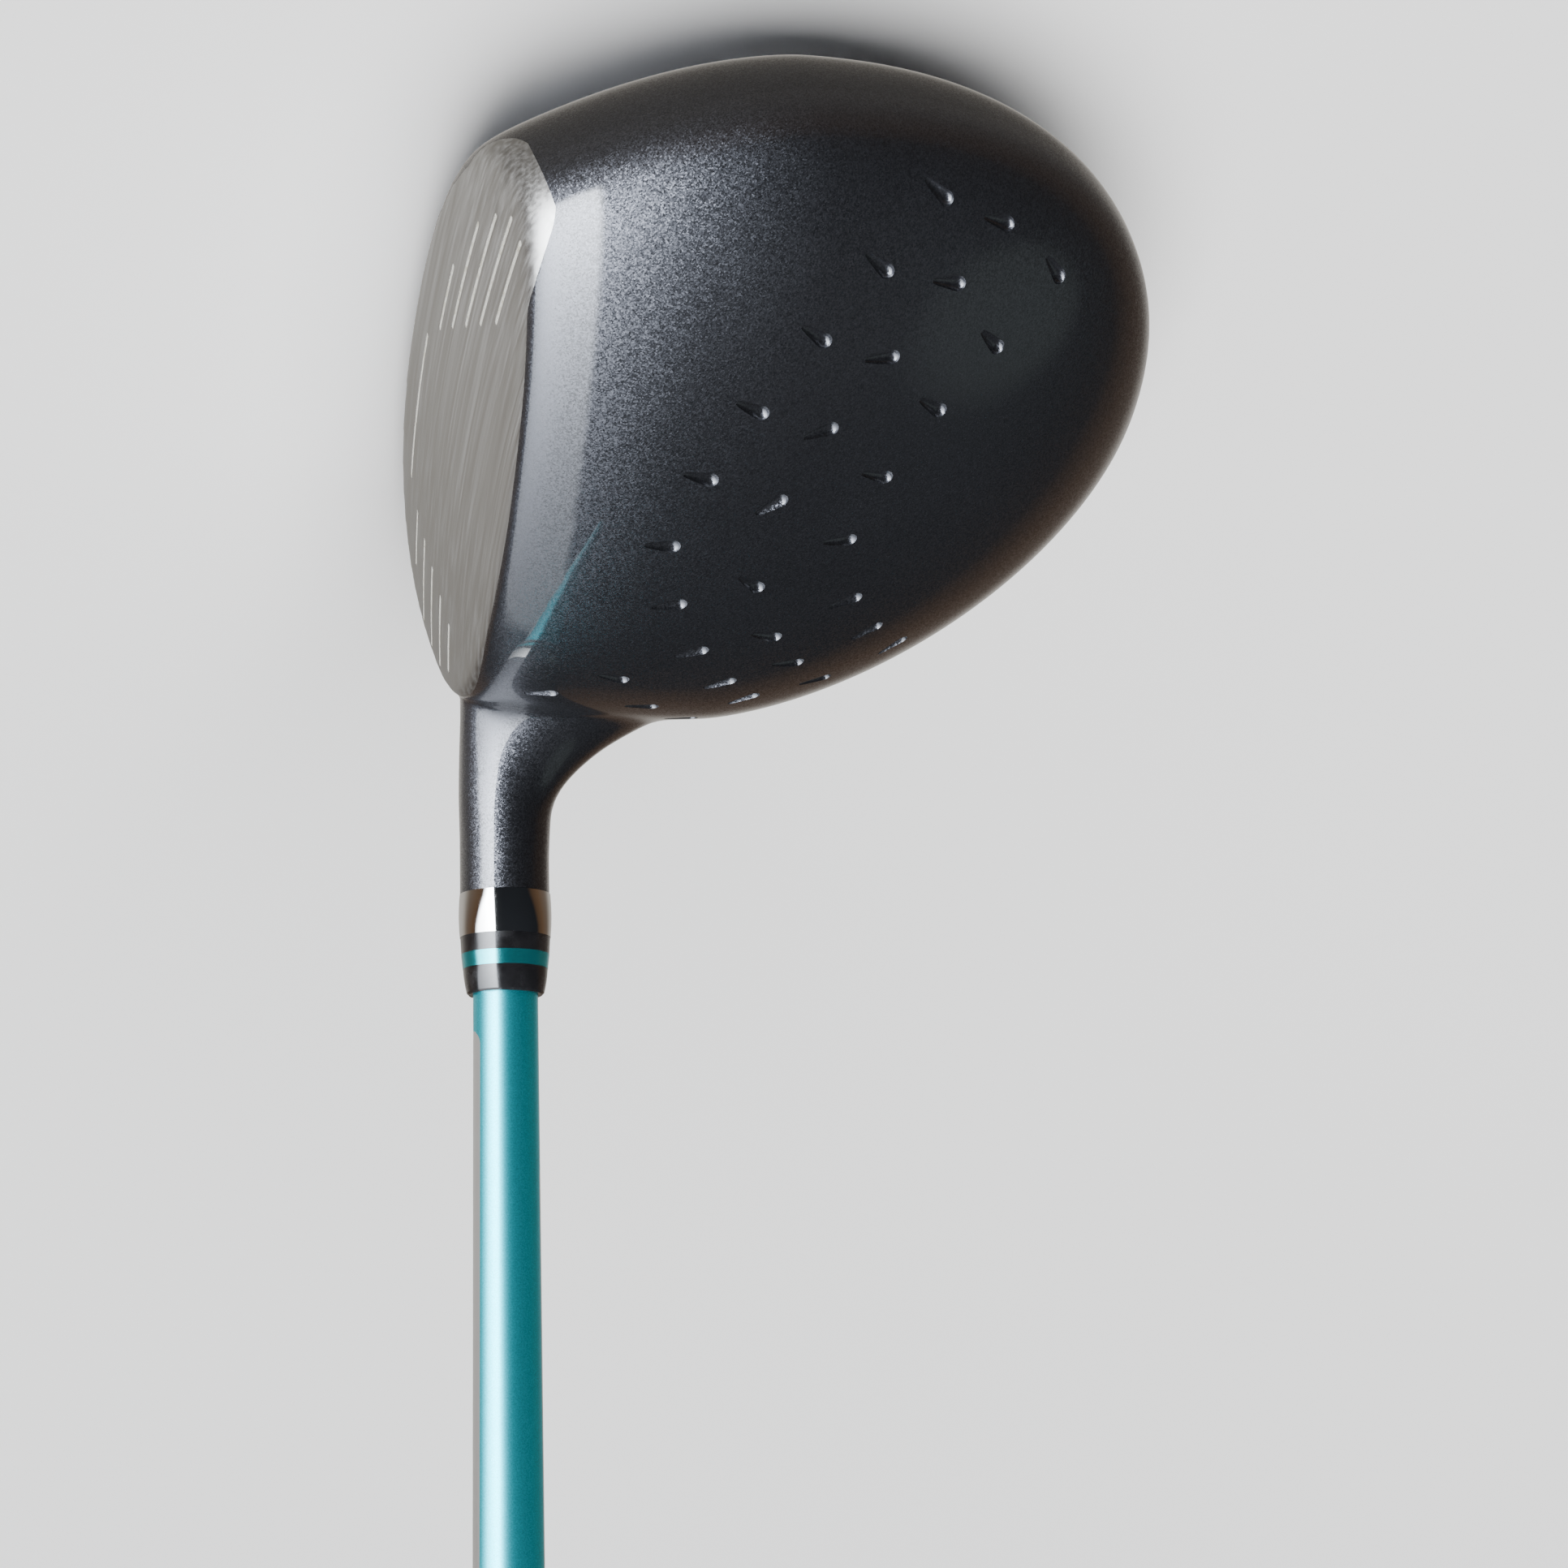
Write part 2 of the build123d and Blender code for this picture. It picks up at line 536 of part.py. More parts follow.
with BuildPart() as grip_cap:
    with BuildSketch(SHAFT_SECTION):
        with BuildLine():
            Polyline(
                (VENT_R, CLUB_LENGTH),
                (VENT_R, GRIP_TOP),
                (GRIP_END_R, GRIP_TOP),
                (GRIP_END_R, CLUB_LENGTH - 1.6),
            )
            ThreePointArc(
                (GRIP_END_R, CLUB_LENGTH - 1.6),
                (GRIP_END_R - 0.6, CLUB_LENGTH - 0.5),
                (GRIP_END_R - 2.2, CLUB_LENGTH),
            )
            Line((GRIP_END_R - 2.2, CLUB_LENGTH), (VENT_R, CLUB_LENGTH))
        make_face()
    revolve(axis=SHAFT_AXIS)

# ---------------------------------------------------------------- rear weight and its screw
with BuildPart() as rear_weight:
    with BuildSketch(WEIGHT_PLANE.offset(-WEIGHT_FLOOR)):
        Circle(WEIGHT_R)
    extrude(amount=WEIGHT_THICK)
    chamfer(rear_weight.faces().sort_by(Axis(WEIGHT_AT, WEIGHT_PLANE.z_dir))[-1].edges(), 0.6)
    with BuildSketch(WEIGHT_PLANE.offset(-WEIGHT_FLOOR)):
        Circle(WEIGHT_SCREW_R + 0.3)
    extrude(amount=WEIGHT_THICK, mode=Mode.SUBTRACT)
    with BuildSketch(WEIGHT_PLANE.offset(-WEIGHT_SEAT)):
        Circle(WEIGHT_SCREW_HEAD_R + 0.4)
    extrude(amount=WEIGHT_SEAT, mode=Mode.SUBTRACT)

with BuildPart() as weight_screw:
    with BuildSketch(WEIGHT_PLANE.offset(-WEIGHT_SEAT)):
        Circle(WEIGHT_SCREW_HEAD_R)
    extrude(amount=WEIGHT_SCREW_HEAD)
    chamfer(weight_screw.faces().sort_by(Axis(WEIGHT_AT, WEIGHT_PLANE.z_dir))[-1].edges(), 0.3)
    with BuildSketch(WEIGHT_PLANE.offset(-WEIGHT_SCREW_TIP)):
        Circle(WEIGHT_SCREW_R)
    extrude(amount=WEIGHT_SCREW_TIP - WEIGHT_SEAT)
    with BuildSketch(WEIGHT_PLANE.offset(WEIGHT_SCREW_HEAD - WEIGHT_SEAT)):
        RegularPolygon(1.8, 6)
    extrude(amount=-1.8, mode=Mode.SUBTRACT)

finished = {
    "upper_shell": upper_shell,
    "sole_shell": sole_shell,
    "face_plate": face_plate,
    "score_line_paint": score_line_paint,
    "sole_badge": sole_badge,
    "damping_pad": damping_pad,
    "adapter_sleeve": adapter_sleeve,
    "sleeve_screw": sleeve_screw,
    "screw_washer": screw_washer,
    "screw_retainer": screw_retainer,
    "ferrule_base": ferrule_base,
    "ferrule_trim_ring": ferrule_trim_ring,
    "ferrule_tip": ferrule_tip,
    "shaft": shaft,
    "tip_plug": tip_plug,
    "grip_tape": grip_tape,
    "grip": grip,
    "grip_cap": grip_cap,
    "rear_weight": rear_weight,
    "weight_screw": weight_screw,
}
for name, piece in finished.items():
    piece.part.label = name
    export_step(piece.part, f"parts/{name}.step")
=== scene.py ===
import json
from math import cos, exp, log, pi, radians, sin, tan

import bmesh
import bpy
from mathutils import Matrix, Vector


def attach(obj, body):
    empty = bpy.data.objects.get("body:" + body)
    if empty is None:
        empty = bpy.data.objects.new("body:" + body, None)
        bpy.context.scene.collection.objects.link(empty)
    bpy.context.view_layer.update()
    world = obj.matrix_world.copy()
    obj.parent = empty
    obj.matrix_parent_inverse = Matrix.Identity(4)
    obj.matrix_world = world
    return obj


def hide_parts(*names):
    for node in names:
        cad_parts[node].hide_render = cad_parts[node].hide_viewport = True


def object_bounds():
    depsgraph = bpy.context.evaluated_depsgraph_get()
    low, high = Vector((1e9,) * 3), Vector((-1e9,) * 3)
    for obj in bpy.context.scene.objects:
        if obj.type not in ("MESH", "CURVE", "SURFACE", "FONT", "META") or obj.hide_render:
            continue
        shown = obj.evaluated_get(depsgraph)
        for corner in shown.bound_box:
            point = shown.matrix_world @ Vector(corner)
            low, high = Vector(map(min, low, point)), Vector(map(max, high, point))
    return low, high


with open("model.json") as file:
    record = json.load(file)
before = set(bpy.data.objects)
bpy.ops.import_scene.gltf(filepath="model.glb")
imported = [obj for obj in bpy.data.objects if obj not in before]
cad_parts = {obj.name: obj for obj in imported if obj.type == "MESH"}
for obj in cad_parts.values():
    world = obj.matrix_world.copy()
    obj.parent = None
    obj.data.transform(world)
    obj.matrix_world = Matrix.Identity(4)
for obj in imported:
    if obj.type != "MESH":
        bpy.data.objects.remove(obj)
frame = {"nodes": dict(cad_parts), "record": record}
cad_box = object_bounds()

MM = 0.001
NODES = frame["nodes"]
MOUNTS = {mount["name"]: mount for mount in frame["record"]["mounts"]}

# the shaft line: it meets the ground at SHAFT_FOOT and runs along SHAFT_DIR
SHAFT_DIR = Vector(MOUNTS["vent"]["axis"]).normalized()
SHAFT_FOOT = Vector(MOUNTS["vent"]["pos_m"])
SHAFT_FOOT -= SHAFT_DIR * (SHAFT_FOOT.z / SHAFT_DIR.z)
ACROSS = Vector((1, 0, 0))
OVER = SHAFT_DIR.cross(ACROSS)


# ---------------------------------------------------------------- camera, light and floor
CAMERA_AT = (0.1456, -0.4507, 0.5129)
CAMERA_AZIMUTH = 18.18
CAMERA_ELEVATION = 41.22
CAMERA_ROLL = 169.56
LENS = 106.27
REAR_PATCH = (172, 36)   # azimuth and elevation of a pale wall behind the club
WINDOW_SKEW, WINDOW_EDGE, WINDOW_LIGHT, WINDOW_FALLOFF = 0.38, 0.29, 8.0, 1.9


def direction(azimuth, elevation):
    """Unit vector at an azimuth from +X towards +Y and an elevation over the floor, in degrees."""
    a, e = radians(azimuth), radians(elevation)
    return Vector((cos(a) * cos(e), sin(a) * cos(e), sin(e)))


def add_camera():
    data = bpy.data.cameras.new("camera")
    data.lens = LENS
    data.sensor_width = 36
    data.clip_start = 0.01
    camera = bpy.data.objects.new("camera", data)
    bpy.context.scene.collection.objects.link(camera)
    turn = Matrix.Rotation(radians(CAMERA_AZIMUTH), 4, "Z")
    tilt = Matrix.Rotation(radians(90 - CAMERA_ELEVATION), 4, "X")
    roll = Matrix.Rotation(radians(CAMERA_ROLL), 4, "Z")
    camera.matrix_world = Matrix.Translation(CAMERA_AT) @ turn @ tilt @ roll
    bpy.context.scene.camera = camera


def softbox(name, azimuth, elevation, distance, size, watts):
    """Rectangular area light that faces the head and shows in no reflection."""
    data = bpy.data.lights.new(name, "AREA")
    data.shape = "RECTANGLE"
    data.size, data.size_y = size
    data.energy = watts
    light = bpy.data.objects.new(name, data)
    bpy.context.scene.collection.objects.link(light)
    target = Vector((0, 0, 0.03))
    light.location = target + direction(azimuth, elevation) * distance
    light.rotation_euler = (light.location - target).to_track_quat("Z", "Y").to_euler()
    light.visible_glossy = False


def add_lights():
    softbox("overhead", 0, 89, 2.0, (2.4, 2.4), 118)
    softbox("under", 200, -76, 1.6, (1.3, 1.3), 26)


def add_world():
    """Dark room for the reflections: a tall window over the front and the toe, and a warm floor below.

    The camera itself sees a plain pale room.
    """
    world = bpy.data.worlds.new("room")
    bpy.context.scene.world = world
    world.cycles_visibility.diffuse = False
    world.use_nodes = True
    tree = world.node_tree
    background = tree.nodes["Background"]
    place = tree.nodes.new("ShaderNodeTexCoord")
    split = tree.nodes.new("ShaderNodeSeparateXYZ")
    ramp = tree.nodes.new("ShaderNodeValToRGB")
    spread = tree.nodes.new("ShaderNodeMapRange")
    spread.inputs["From Min"].default_value = -1
    tree.links.new(place.outputs["Generated"], split.inputs[0])
    tree.links.new(split.outputs["Z"], spread.inputs["Value"])
    tree.links.new(spread.outputs["Result"], ramp.inputs["Fac"])
    stops = [
        (0.0, (0.25, 0.23, 0.20)),
        (0.20, (0.20, 0.18, 0.16)),
        (0.42, (0.13, 0.080, 0.048)),
        (0.49, (0.085, 0.052, 0.032)),
        (0.53, (0.016, 0.018, 0.022)),
        (0.75, (0.024, 0.027, 0.033)),
        (1.0, (0.040, 0.043, 0.050)),
    ]
    ramp.color_ramp.elements[0].position = stops[0][0]
    ramp.color_ramp.elements[0].color = (*stops[0][1], 1)
    ramp.color_ramp.elements[1].position = stops[-1][0]
    ramp.color_ramp.elements[1].color = (*stops[-1][1], 1)
    for position, colour in stops[1:-1]:
        ramp.color_ramp.elements.new(position).color = (*colour, 1)
    front = maths(tree, "ADD", split.outputs["X"], maths(tree, "MULTIPLY", split.outputs["Y"], WINDOW_SKEW))
    inside = ramp_value(tree, front, WINDOW_EDGE, WINDOW_EDGE + 0.035)
    heelward = maths(tree, "MULTIPLY", maths(tree, "MAXIMUM", split.outputs["Y"], 0), 0.5)
    above = ramp_value(tree, maths(tree, "SUBTRACT", split.outputs["Z"], heelward), -0.08, 0.05)
    falloff = maths(tree, "EXPONENT", maths(tree, "MULTIPLY", split.outputs["Y"], -WINDOW_FALLOFF))
    light = maths(tree, "MULTIPLY", maths(tree, "MULTIPLY", inside, above), falloff)
    floor_patch = maths(
        tree,
        "MULTIPLY",
        ramp_value(tree, split.outputs["Y"], 0.0, 0.7),
        ramp_value(tree, split.outputs["Z"], -0.30, -0.60),
    )
    toward = tree.nodes.new("ShaderNodeVectorMath")
    toward.operation = "DOT_PRODUCT"
    toward.inputs[1].default_value = direction(*REAR_PATCH)
    tree.links.new(place.outputs["Generated"], toward.inputs[0])
    rear_patch = ramp_value(tree, toward.outputs["Value"], cos(radians(21)), cos(radians(12)))
    total = ramp.outputs["Color"]
    for share, strength, colour in (
        (light, WINDOW_LIGHT, (0.88, 0.93, 1.0)),
        (floor_patch, 0.42, (1.0, 0.98, 0.92)),
        (rear_patch, 0.20, (0.80, 0.95, 0.88)),
    ):
        glow = tree.nodes.new("ShaderNodeVectorMath")
        glow.operation = "MULTIPLY_ADD"
        glow.inputs[1].default_value = tuple(strength * c for c in colour)
        tree.links.new(share, glow.inputs[0])
        tree.links.new(total, glow.inputs[2])
        total = glow.outputs[0]
    ray = tree.nodes.new("ShaderNodeLightPath")
    seen = mix_colours(tree, ray.outputs["Is Camera Ray"], total, (0.62, 0.63, 0.64))
    tree.links.new(seen, background.inputs["Color"])


def add_floor():
    bpy.ops.mesh.primitive_plane_add(size=8, location=(0, 0, cad_box[0][2] - 0.0002))
    floor = bpy.context.object
    floor.name = "floor"
    material, tree, shader = new_material("floor", (0.92, 0.92, 0.92), 0.9)
    mottle = texture(tree, "Noise", scale=3, detail=2)
    link_ramp(tree, mottle.outputs["Fac"], shader.inputs["Base Color"], (0.90,) * 3, (0.94,) * 3)
    floor.data.materials.append(material)
    floor.visible_glossy = False
    floor.visible_shadow = False


# ---------------------------------------------------------------- material helpers
def new_material(name, colour, roughness, metallic=0.0):
    material = bpy.data.materials.new(name)
    material.use_nodes = True
    tree = material.node_tree
    shader = tree.nodes["Principled BSDF"]
    shader.inputs["Base Color"].default_value = (*colour, 1)
    shader.inputs["Roughness"].default_value = roughness
    shader.inputs["Metallic"].default_value = metallic
    return material, tree, shader


def coat(shader, weight, roughness):
    shader.inputs["Coat Weight"].default_value = weight
    shader.inputs["Coat Roughness"].default_value = roughness


def texture(tree, kind, scale, detail=None, stretch=(1, 1, 1)):
    """Noise or Voronoi texture in the object's own coordinates, in metres, stretched along an axis."""
    place = tree.nodes.new("ShaderNodeTexCoord")
    node = tree.nodes.new(f"ShaderNodeTex{kind}")
    node.inputs["Scale"].default_value = scale
    if detail is not None:
        node.inputs["Detail"].default_value = detail
    mapping = tree.nodes.new("ShaderNodeMapping")
    mapping.inputs["Scale"].default_value = stretch
    tree.links.new(place.outputs["Object"], mapping.inputs["Vector"])
    tree.links.new(mapping.outputs["Vector"], node.inputs["Vector"])
    return node


def link_ramp(tree, source, target, low, high, start=0.3, end=0.7):
    """Feed a socket from a texture: colours or values between low and high."""
    if isinstance(low, tuple):
        ramp = tree.nodes.new("ShaderNodeValToRGB")
        ramp.color_ramp.elements[0].position = start
        ramp.color_ramp.elements[1].position = end
        ramp.color_ramp.elements[0].color = (*low, 1)
        ramp.color_ramp.elements[1].color = (*high, 1)
        tree.links.new(source, ramp.inputs["Fac"])
        tree.links.new(ramp.outputs["Color"], target)
        return ramp
    spread = tree.nodes.new("ShaderNodeMapRange")
    spread.inputs["From Min"].default_value = start
    spread.inputs["From Max"].default_value = end
    spread.inputs["To Min"].default_value = low
    spread.inputs["To Max"].default_value = high
    tree.links.new(source, spread.inputs["Value"])
    tree.links.new(spread.outputs["Result"], target)
    return spread


def link_bump(tree, shader, source, strength, distance):
    bump = tree.nodes.new("ShaderNodeBump")
    bump.inputs["Strength"].default_value = strength
    bump.inputs["Distance"].default_value = distance
    tree.links.new(source, bump.inputs["Height"])
    tree.links.new(bump.outputs["Normal"], shader.inputs["Normal"])
    return bump


def maths(tree, operation, first, second=None):
    """Math node on two sockets or numbers; returns its output."""
    node = tree.nodes.new("ShaderNodeMath")
    node.operation = operation
    for socket, value in zip(node.inputs, (first, second)):
        if isinstance(value, (int, float)):
            socket.default_value = value
        elif value is not None:
            tree.links.new(value, socket)
    return node.outputs[0]


def ramp_value(tree, source, start, end):
    """0 before start and 1 after end, smooth between them."""
    spread = tree.nodes.new("ShaderNodeMapRange")
    spread.interpolation_type = "SMOOTHSTEP"
    spread.inputs["From Min"].default_value = start
    spread.inputs["From Max"].default_value = end
    tree.links.new(source, spread.inputs["Value"])
    return spread.outputs["Result"]


def mix_colours(tree, share, first, second):
    """Mix two colours or sockets by a share; returns the output."""
    node = tree.nodes.new("ShaderNodeMix")
    node.data_type = "RGBA"
    tree.links.new(share, node.inputs["Factor"])
    for name, value in (("A", first), ("B", second)):
        socket = [s for s in node.inputs if s.name == name and s.type == "RGBA"][0]
        if isinstance(value, tuple):
            socket.default_value = (*value, 1)
        else:
            tree.links.new(value, socket)
    return [s for s in node.outputs if s.type == "RGBA"][0]


# ---------------------------------------------------------------- mesh helpers
def mesh_object(name, points, faces):
    """New object from points in millimetres and faces."""
    mesh = bpy.data.meshes.new(name)
    mesh.from_pydata([tuple(c * MM for c in point) for point in points], [], faces)
    outward = bmesh.new()
    outward.from_mesh(mesh)
    bmesh.ops.recalc_face_normals(outward, faces=outward.faces)
    outward.to_mesh(mesh)
    outward.free()
    piece = bpy.data.objects.new(name, mesh)
    bpy.context.scene.collection.objects.link(piece)
    return piece


def skin(name, *skins):
    """Closed skins over rings of equal point counts; a ring of one point closes an end to a tip."""
    points, faces = [], []
    for rings in skins:
        starts = []
        for ring in rings:
            starts.append(len(points))
            points += ring
        for first, second, low, high in zip(rings, rings[1:], starts, starts[1:]):
            count = max(len(first), len(second))
            for step in range(count):
                after = (step + 1) % count
                if len(first) == 1:
                    faces.append((low, high + step, high + after))
                elif len(second) == 1:
                    faces.append((low + step, high, low + after))
                else:
                    faces.append((low + step, high + step, high + after, low + after))
        if len(rings[0]) > 1:
            faces.append(tuple(range(starts[0], starts[0] + len(rings[0]))))
        if len(rings[-1]) > 1:
            faces.append(tuple(reversed(range(starts[-1], len(points)))))
    return mesh_object(name, points, faces)


def tube(name, rings):
    """Closed tube over rings of equal point counts, of which the last joins the first."""
    count = len(rings[0])
    points = [point for ring in rings for point in ring]
    faces = []
    for index in range(len(rings)):
        low, high = index * count, (index + 1) % len(rings) * count
        for step in range(count):
            after = (step + 1) % count
            faces.append((low + step, high + step, high + after, low + after))
    return mesh_object(name, points, faces)


def bake(piece):
    """Apply a piece's modifiers to its mesh."""
    shaped = piece.evaluated_get(bpy.context.evaluated_depsgraph_get())
    mesh = bpy.data.meshes.new_from_object(shaped)
    piece.modifiers.clear()
    piece.vertex_groups.clear()
    piece.data = mesh


def combine(piece, tool, operation, keep_tool=False):
    """Boolean of a piece with a tool, which is then removed."""
    change = piece.modifiers.new("change", "BOOLEAN")
    change.operation = operation
    change.object = tool
    change.solver = "MANIFOLD"
    bake(piece)
    if not keep_tool:
        bpy.data.objects.remove(tool)


def copy_of(piece, name):
    twin = piece.copy()
    twin.data = piece.data.copy()
    twin.name = name
    bpy.context.scene.collection.objects.link(twin)
    return twin


def along_shaft(u, radius, angle, shift_x=0.0, shift_y=0.0, half_y=None):
    """Point round the shaft line, u from the ground, in millimetres."""
    across = shift_x + radius * cos(angle)
    over = shift_y + (half_y or radius) * sin(angle)
    return tuple(SHAFT_FOOT / MM + SHAFT_DIR * u + ACROSS * across + OVER * over)


def turned(name, profile, count=96):
    """Solid turned about the shaft line from (radius, distance along it) points."""
    angles = [2 * pi * step / count for step in range(count)]
    return skin(name, [[along_shaft(u, radius, angle) for angle in angles] for radius, u in profile])


def rod(name, origin, axis, radius, low, high, count=96):
    """Cylinder along an axis between two distances from its origin, in millimetres."""
    axis = Vector(axis).normalized()
    across = axis.orthogonal().normalized()
    over = axis.cross(across)
    rings = []
    for along in (low, high):
        middle = Vector(origin) + axis * along
        angles = [2 * pi * step / count for step in range(count)]
        rings.append([tuple(middle + (across * cos(a) + over * sin(a)) * radius) for a in angles])
    return skin(name, rings)


def shade(piece, angle=28):
    """Smooth shading that keeps edges sharper than an angle."""
    mesh = piece.data
    mesh.polygons.foreach_set("use_smooth", [True] * len(mesh.polygons))
    mesh.set_sharp_from_angle(angle=radians(angle))


def smoothstep(low, high, value):
    share = min(max((value - low) / (high - low), 0), 1)
    return share * share * (3 - 2 * share)


# ---------------------------------------------------------------- the head's form, in millimetres
FACE_X, FRONT_X, TAIL_X, WIDEST_X, CREST_X = 42.8, 51.2, -65.0, -6.0, 10.4
TOE_REACH, HEEL_REACH, TAIL_Y = 62.0, 56.0, -5.8
TOE_PULL, HEEL_PULL = 0.47, 0.17
CROWN_TOP, CROWN_DROP = 55.7, 10.9
SKIRT_FRONT, SKIRT_REAR = 28.1, 24.7
SOLE_LOW_X, SOLE_RISE, SOLE_FLAT = 8.0, 6.9, 0.4
FACE_RADIUS, FACE_MIDDLE_Z = 356.0, 29.1
LOFT, YAW = radians(11), radians(1)
FACE_NORMAL = Vector((cos(LOFT) * cos(YAW), cos(LOFT) * sin(YAW), sin(LOFT)))
FACE_CENTRE = Vector((FACE_X - FACE_MIDDLE_Z * tan(LOFT) - 0.5, 0, FACE_MIDDLE_Z)) - FACE_NORMAL * FACE_RADIUS
RIM_ROUND = 1.5          # softness of the edge between the face and the body
RING_POINTS = 360
VOXEL = 0.7
NECK_STATIONS = (
    # distance from the ground, half widths across and along the face, shift from the shaft line
    (10, 9.5, 9.0, -2.4, -4.0),
    (24, 15.7, 12.0, -8.5, -5.6),
    (38, 16.9, 11.2, -9.7, -3.4),
    (46, 10.9, 8.8, -3.9, -0.8),
    (53, 7.6, 7.2, -0.6, -0.1),
    (60, 6.85, 6.85, 0, 0),
    (74, 6.85, 6.85, 0, 0),
)
HOSEL_END = 68.4
HOSEL_LEAST_R = 6.7      # the skin stays this far out from the shaft line, round the hosel's bore


def fade(share, power, root):
    return max(1 - share**power, 0) ** root


def head_station(x, wall=0.0):
    """Toe, heel, widest height, crown and sole of the head at one place along X, moved in by a wall."""
    tail = TAIL_X + 1.5 * wall
    back = min(max((WIDEST_X - x) / (WIDEST_X - tail), 0), 1)
    ahead = max((x - WIDEST_X) / (FRONT_X - WIDEST_X), 0)
    shift = TAIL_Y * back**2
    toe = shift - (TOE_REACH - wall) * fade(back, 2.23, 0.49) * (1 - TOE_PULL * ahead**1.65)
    heel = shift + (HEEL_REACH - wall) * fade(back, 1.58, 0.52) * (1 - HEEL_PULL * ahead**2)
    skirt = SKIRT_FRONT + (SKIRT_REAR - SKIRT_FRONT) * (FRONT_X - x) / (FRONT_X - TAIL_X)
    if x > CREST_X:
        crown = CROWN_TOP - wall - CROWN_DROP * ((x - CREST_X) / (FRONT_X - CREST_X)) ** 2
    else:
        crown = skirt + (CROWN_TOP - wall - skirt) * fade((CREST_X - x) / (CREST_X - tail), 1.95, 0.67)
    if x > SOLE_LOW_X:
        sole = SOLE_RISE * ((x - SOLE_LOW_X) / (FRONT_X - SOLE_LOW_X)) ** 2 - SOLE_FLAT + wall
    else:
        sole = skirt - (skirt + SOLE_FLAT - wall) * fade((SOLE_LOW_X - x) / (SOLE_LOW_X - tail), 2.22, 0.6)
    return toe, heel, skirt, crown, sole


def section_point(x, angle, wall):
    toe, heel, skirt, crown, sole = head_station(x, wall)
    side = 1 if cos(angle) >= 0 else -1
    if sin(angle) >= 0:
        across = abs(cos(angle)) ** (2 / 1.97)
        height = (crown - skirt) * sin(angle) ** (2 / 1.95)
    else:
        across = abs(cos(angle)) ** (2 / 2.7)
        height = (sole - skirt) * (-sin(angle)) ** (2 / 2.8)
    return (toe + heel) / 2 + (heel - toe) / 2 * side * across, skirt + height


def face_x(y, z, depth=0.0):
    """Where the bulged face stands over a place of the YZ plane, moved in by a depth."""
    radius = FACE_RADIUS - depth
    return FACE_CENTRE.x + (radius**2 - (y - FACE_CENTRE.y) ** 2 - (z - FACE_CENTRE.z) ** 2) ** 0.5


def soft_min(value, limit, softness):
    share = (limit - value) / softness
    return value if share > 30 else limit - softness * log(1 + exp(share))


def form_rings(wall, depth, softness, count=150):
    """Rings of the head's skin: a disc of face, then sections back to the tail."""
    rings = []
    last = TAIL_X + 1.5 * wall
    for step in range(count):
        x = FRONT_X + (last - FRONT_X) * sin(step / count * pi / 2)
        ring = []
        for point in range(RING_POINTS):
            y, z = section_point(x, 2 * pi * point / RING_POINTS, wall)
            z = max(z, wall)
            ring.append((soft_min(x, face_x(y, z, depth), softness), y, z))
        rings.append(ring)
    disc = []
    for share in (0.02, 0.15, 0.3, 0.45, 0.6, 0.75, 0.9, 0.97):
        flat = [(y * share, FACE_MIDDLE_Z + (z - FACE_MIDDLE_Z) * share) for x, y, z in rings[0]]
        disc.append([(face_x(y, z, depth), y, z) for y, z in flat])
    toe, heel, skirt, crown, sole = head_station(last, wall)
    return [[(face_x(0, FACE_MIDDLE_Z, depth), 0, FACE_MIDDLE_Z)]] + disc + rings + [[(last, toe, skirt)]]


def neck_station(u):
    """Widths and shifts of the neck at u, by a smooth curve through its stations."""
    index = max(i for i, station in enumerate(NECK_STATIONS[:-1]) if station[0] <= u)
    near = [NECK_STATIONS[min(max(index + step, 0), len(NECK_STATIONS) - 1)] for step in (-1, 0, 1, 2)]
    span = near[2][0] - near[1][0]
    share = (u - near[1][0]) / span
    values = []
    for column in range(1, 5):
        before, start, end, after = (station[column] for station in near)
        slope_in = (end - before) / max(near[2][0] - near[0][0], 1) * span
        slope_out = (after - start) / max(near[3][0] - near[1][0], 1) * span
        square, cube = share**2, share**3
        values.append(
            (2 * cube - 3 * square + 1) * start
            + (cube - 2 * square + share) * slope_in
            + (3 * square - 2 * cube) * end
            + (cube - square) * slope_out
        )
    return values


def neck_rings():
    rings = []
    for u in range(NECK_STATIONS[0][0], NECK_STATIONS[-1][0] + 1):
        half_x, half_y, shift_x, shift_y = neck_station(u)
        angles = [2 * pi * step / 120 for step in range(120)]
        rings.append([along_shaft(u, half_x, angle, shift_x, shift_y, half_y) for angle in angles])
    return rings


def blend_weight(point):
    """How strongly the surface is smoothed at a place: only where the neck runs into the head."""
    place = point / MM - SHAFT_FOOT / MM
    u = place.dot(SHAFT_DIR)
    reach = (place - SHAFT_DIR * u).length
    behind_face = face_x(point.y / MM, point.z / MM) - point.x / MM
    along = smoothstep(24, 34, u) * smoothstep(58, 51, u)
    return along * smoothstep(34, 26, reach) * smoothstep(3, 7, behind_face)


def thicken_hosel(form):
    """Push the skin out where it comes too near the hosel's bore."""
    foot = SHAFT_FOOT / MM
    for vertex in form.data.vertices:
        place = vertex.co / MM - foot
        u = place.dot(SHAFT_DIR)
        outward = place - SHAFT_DIR * u
        least = HOSEL_LEAST_R * smoothstep(17, 22, u)
        if outward.length < least:
            vertex.co = (foot + SHAFT_DIR * u + outward.normalized() * least) * MM


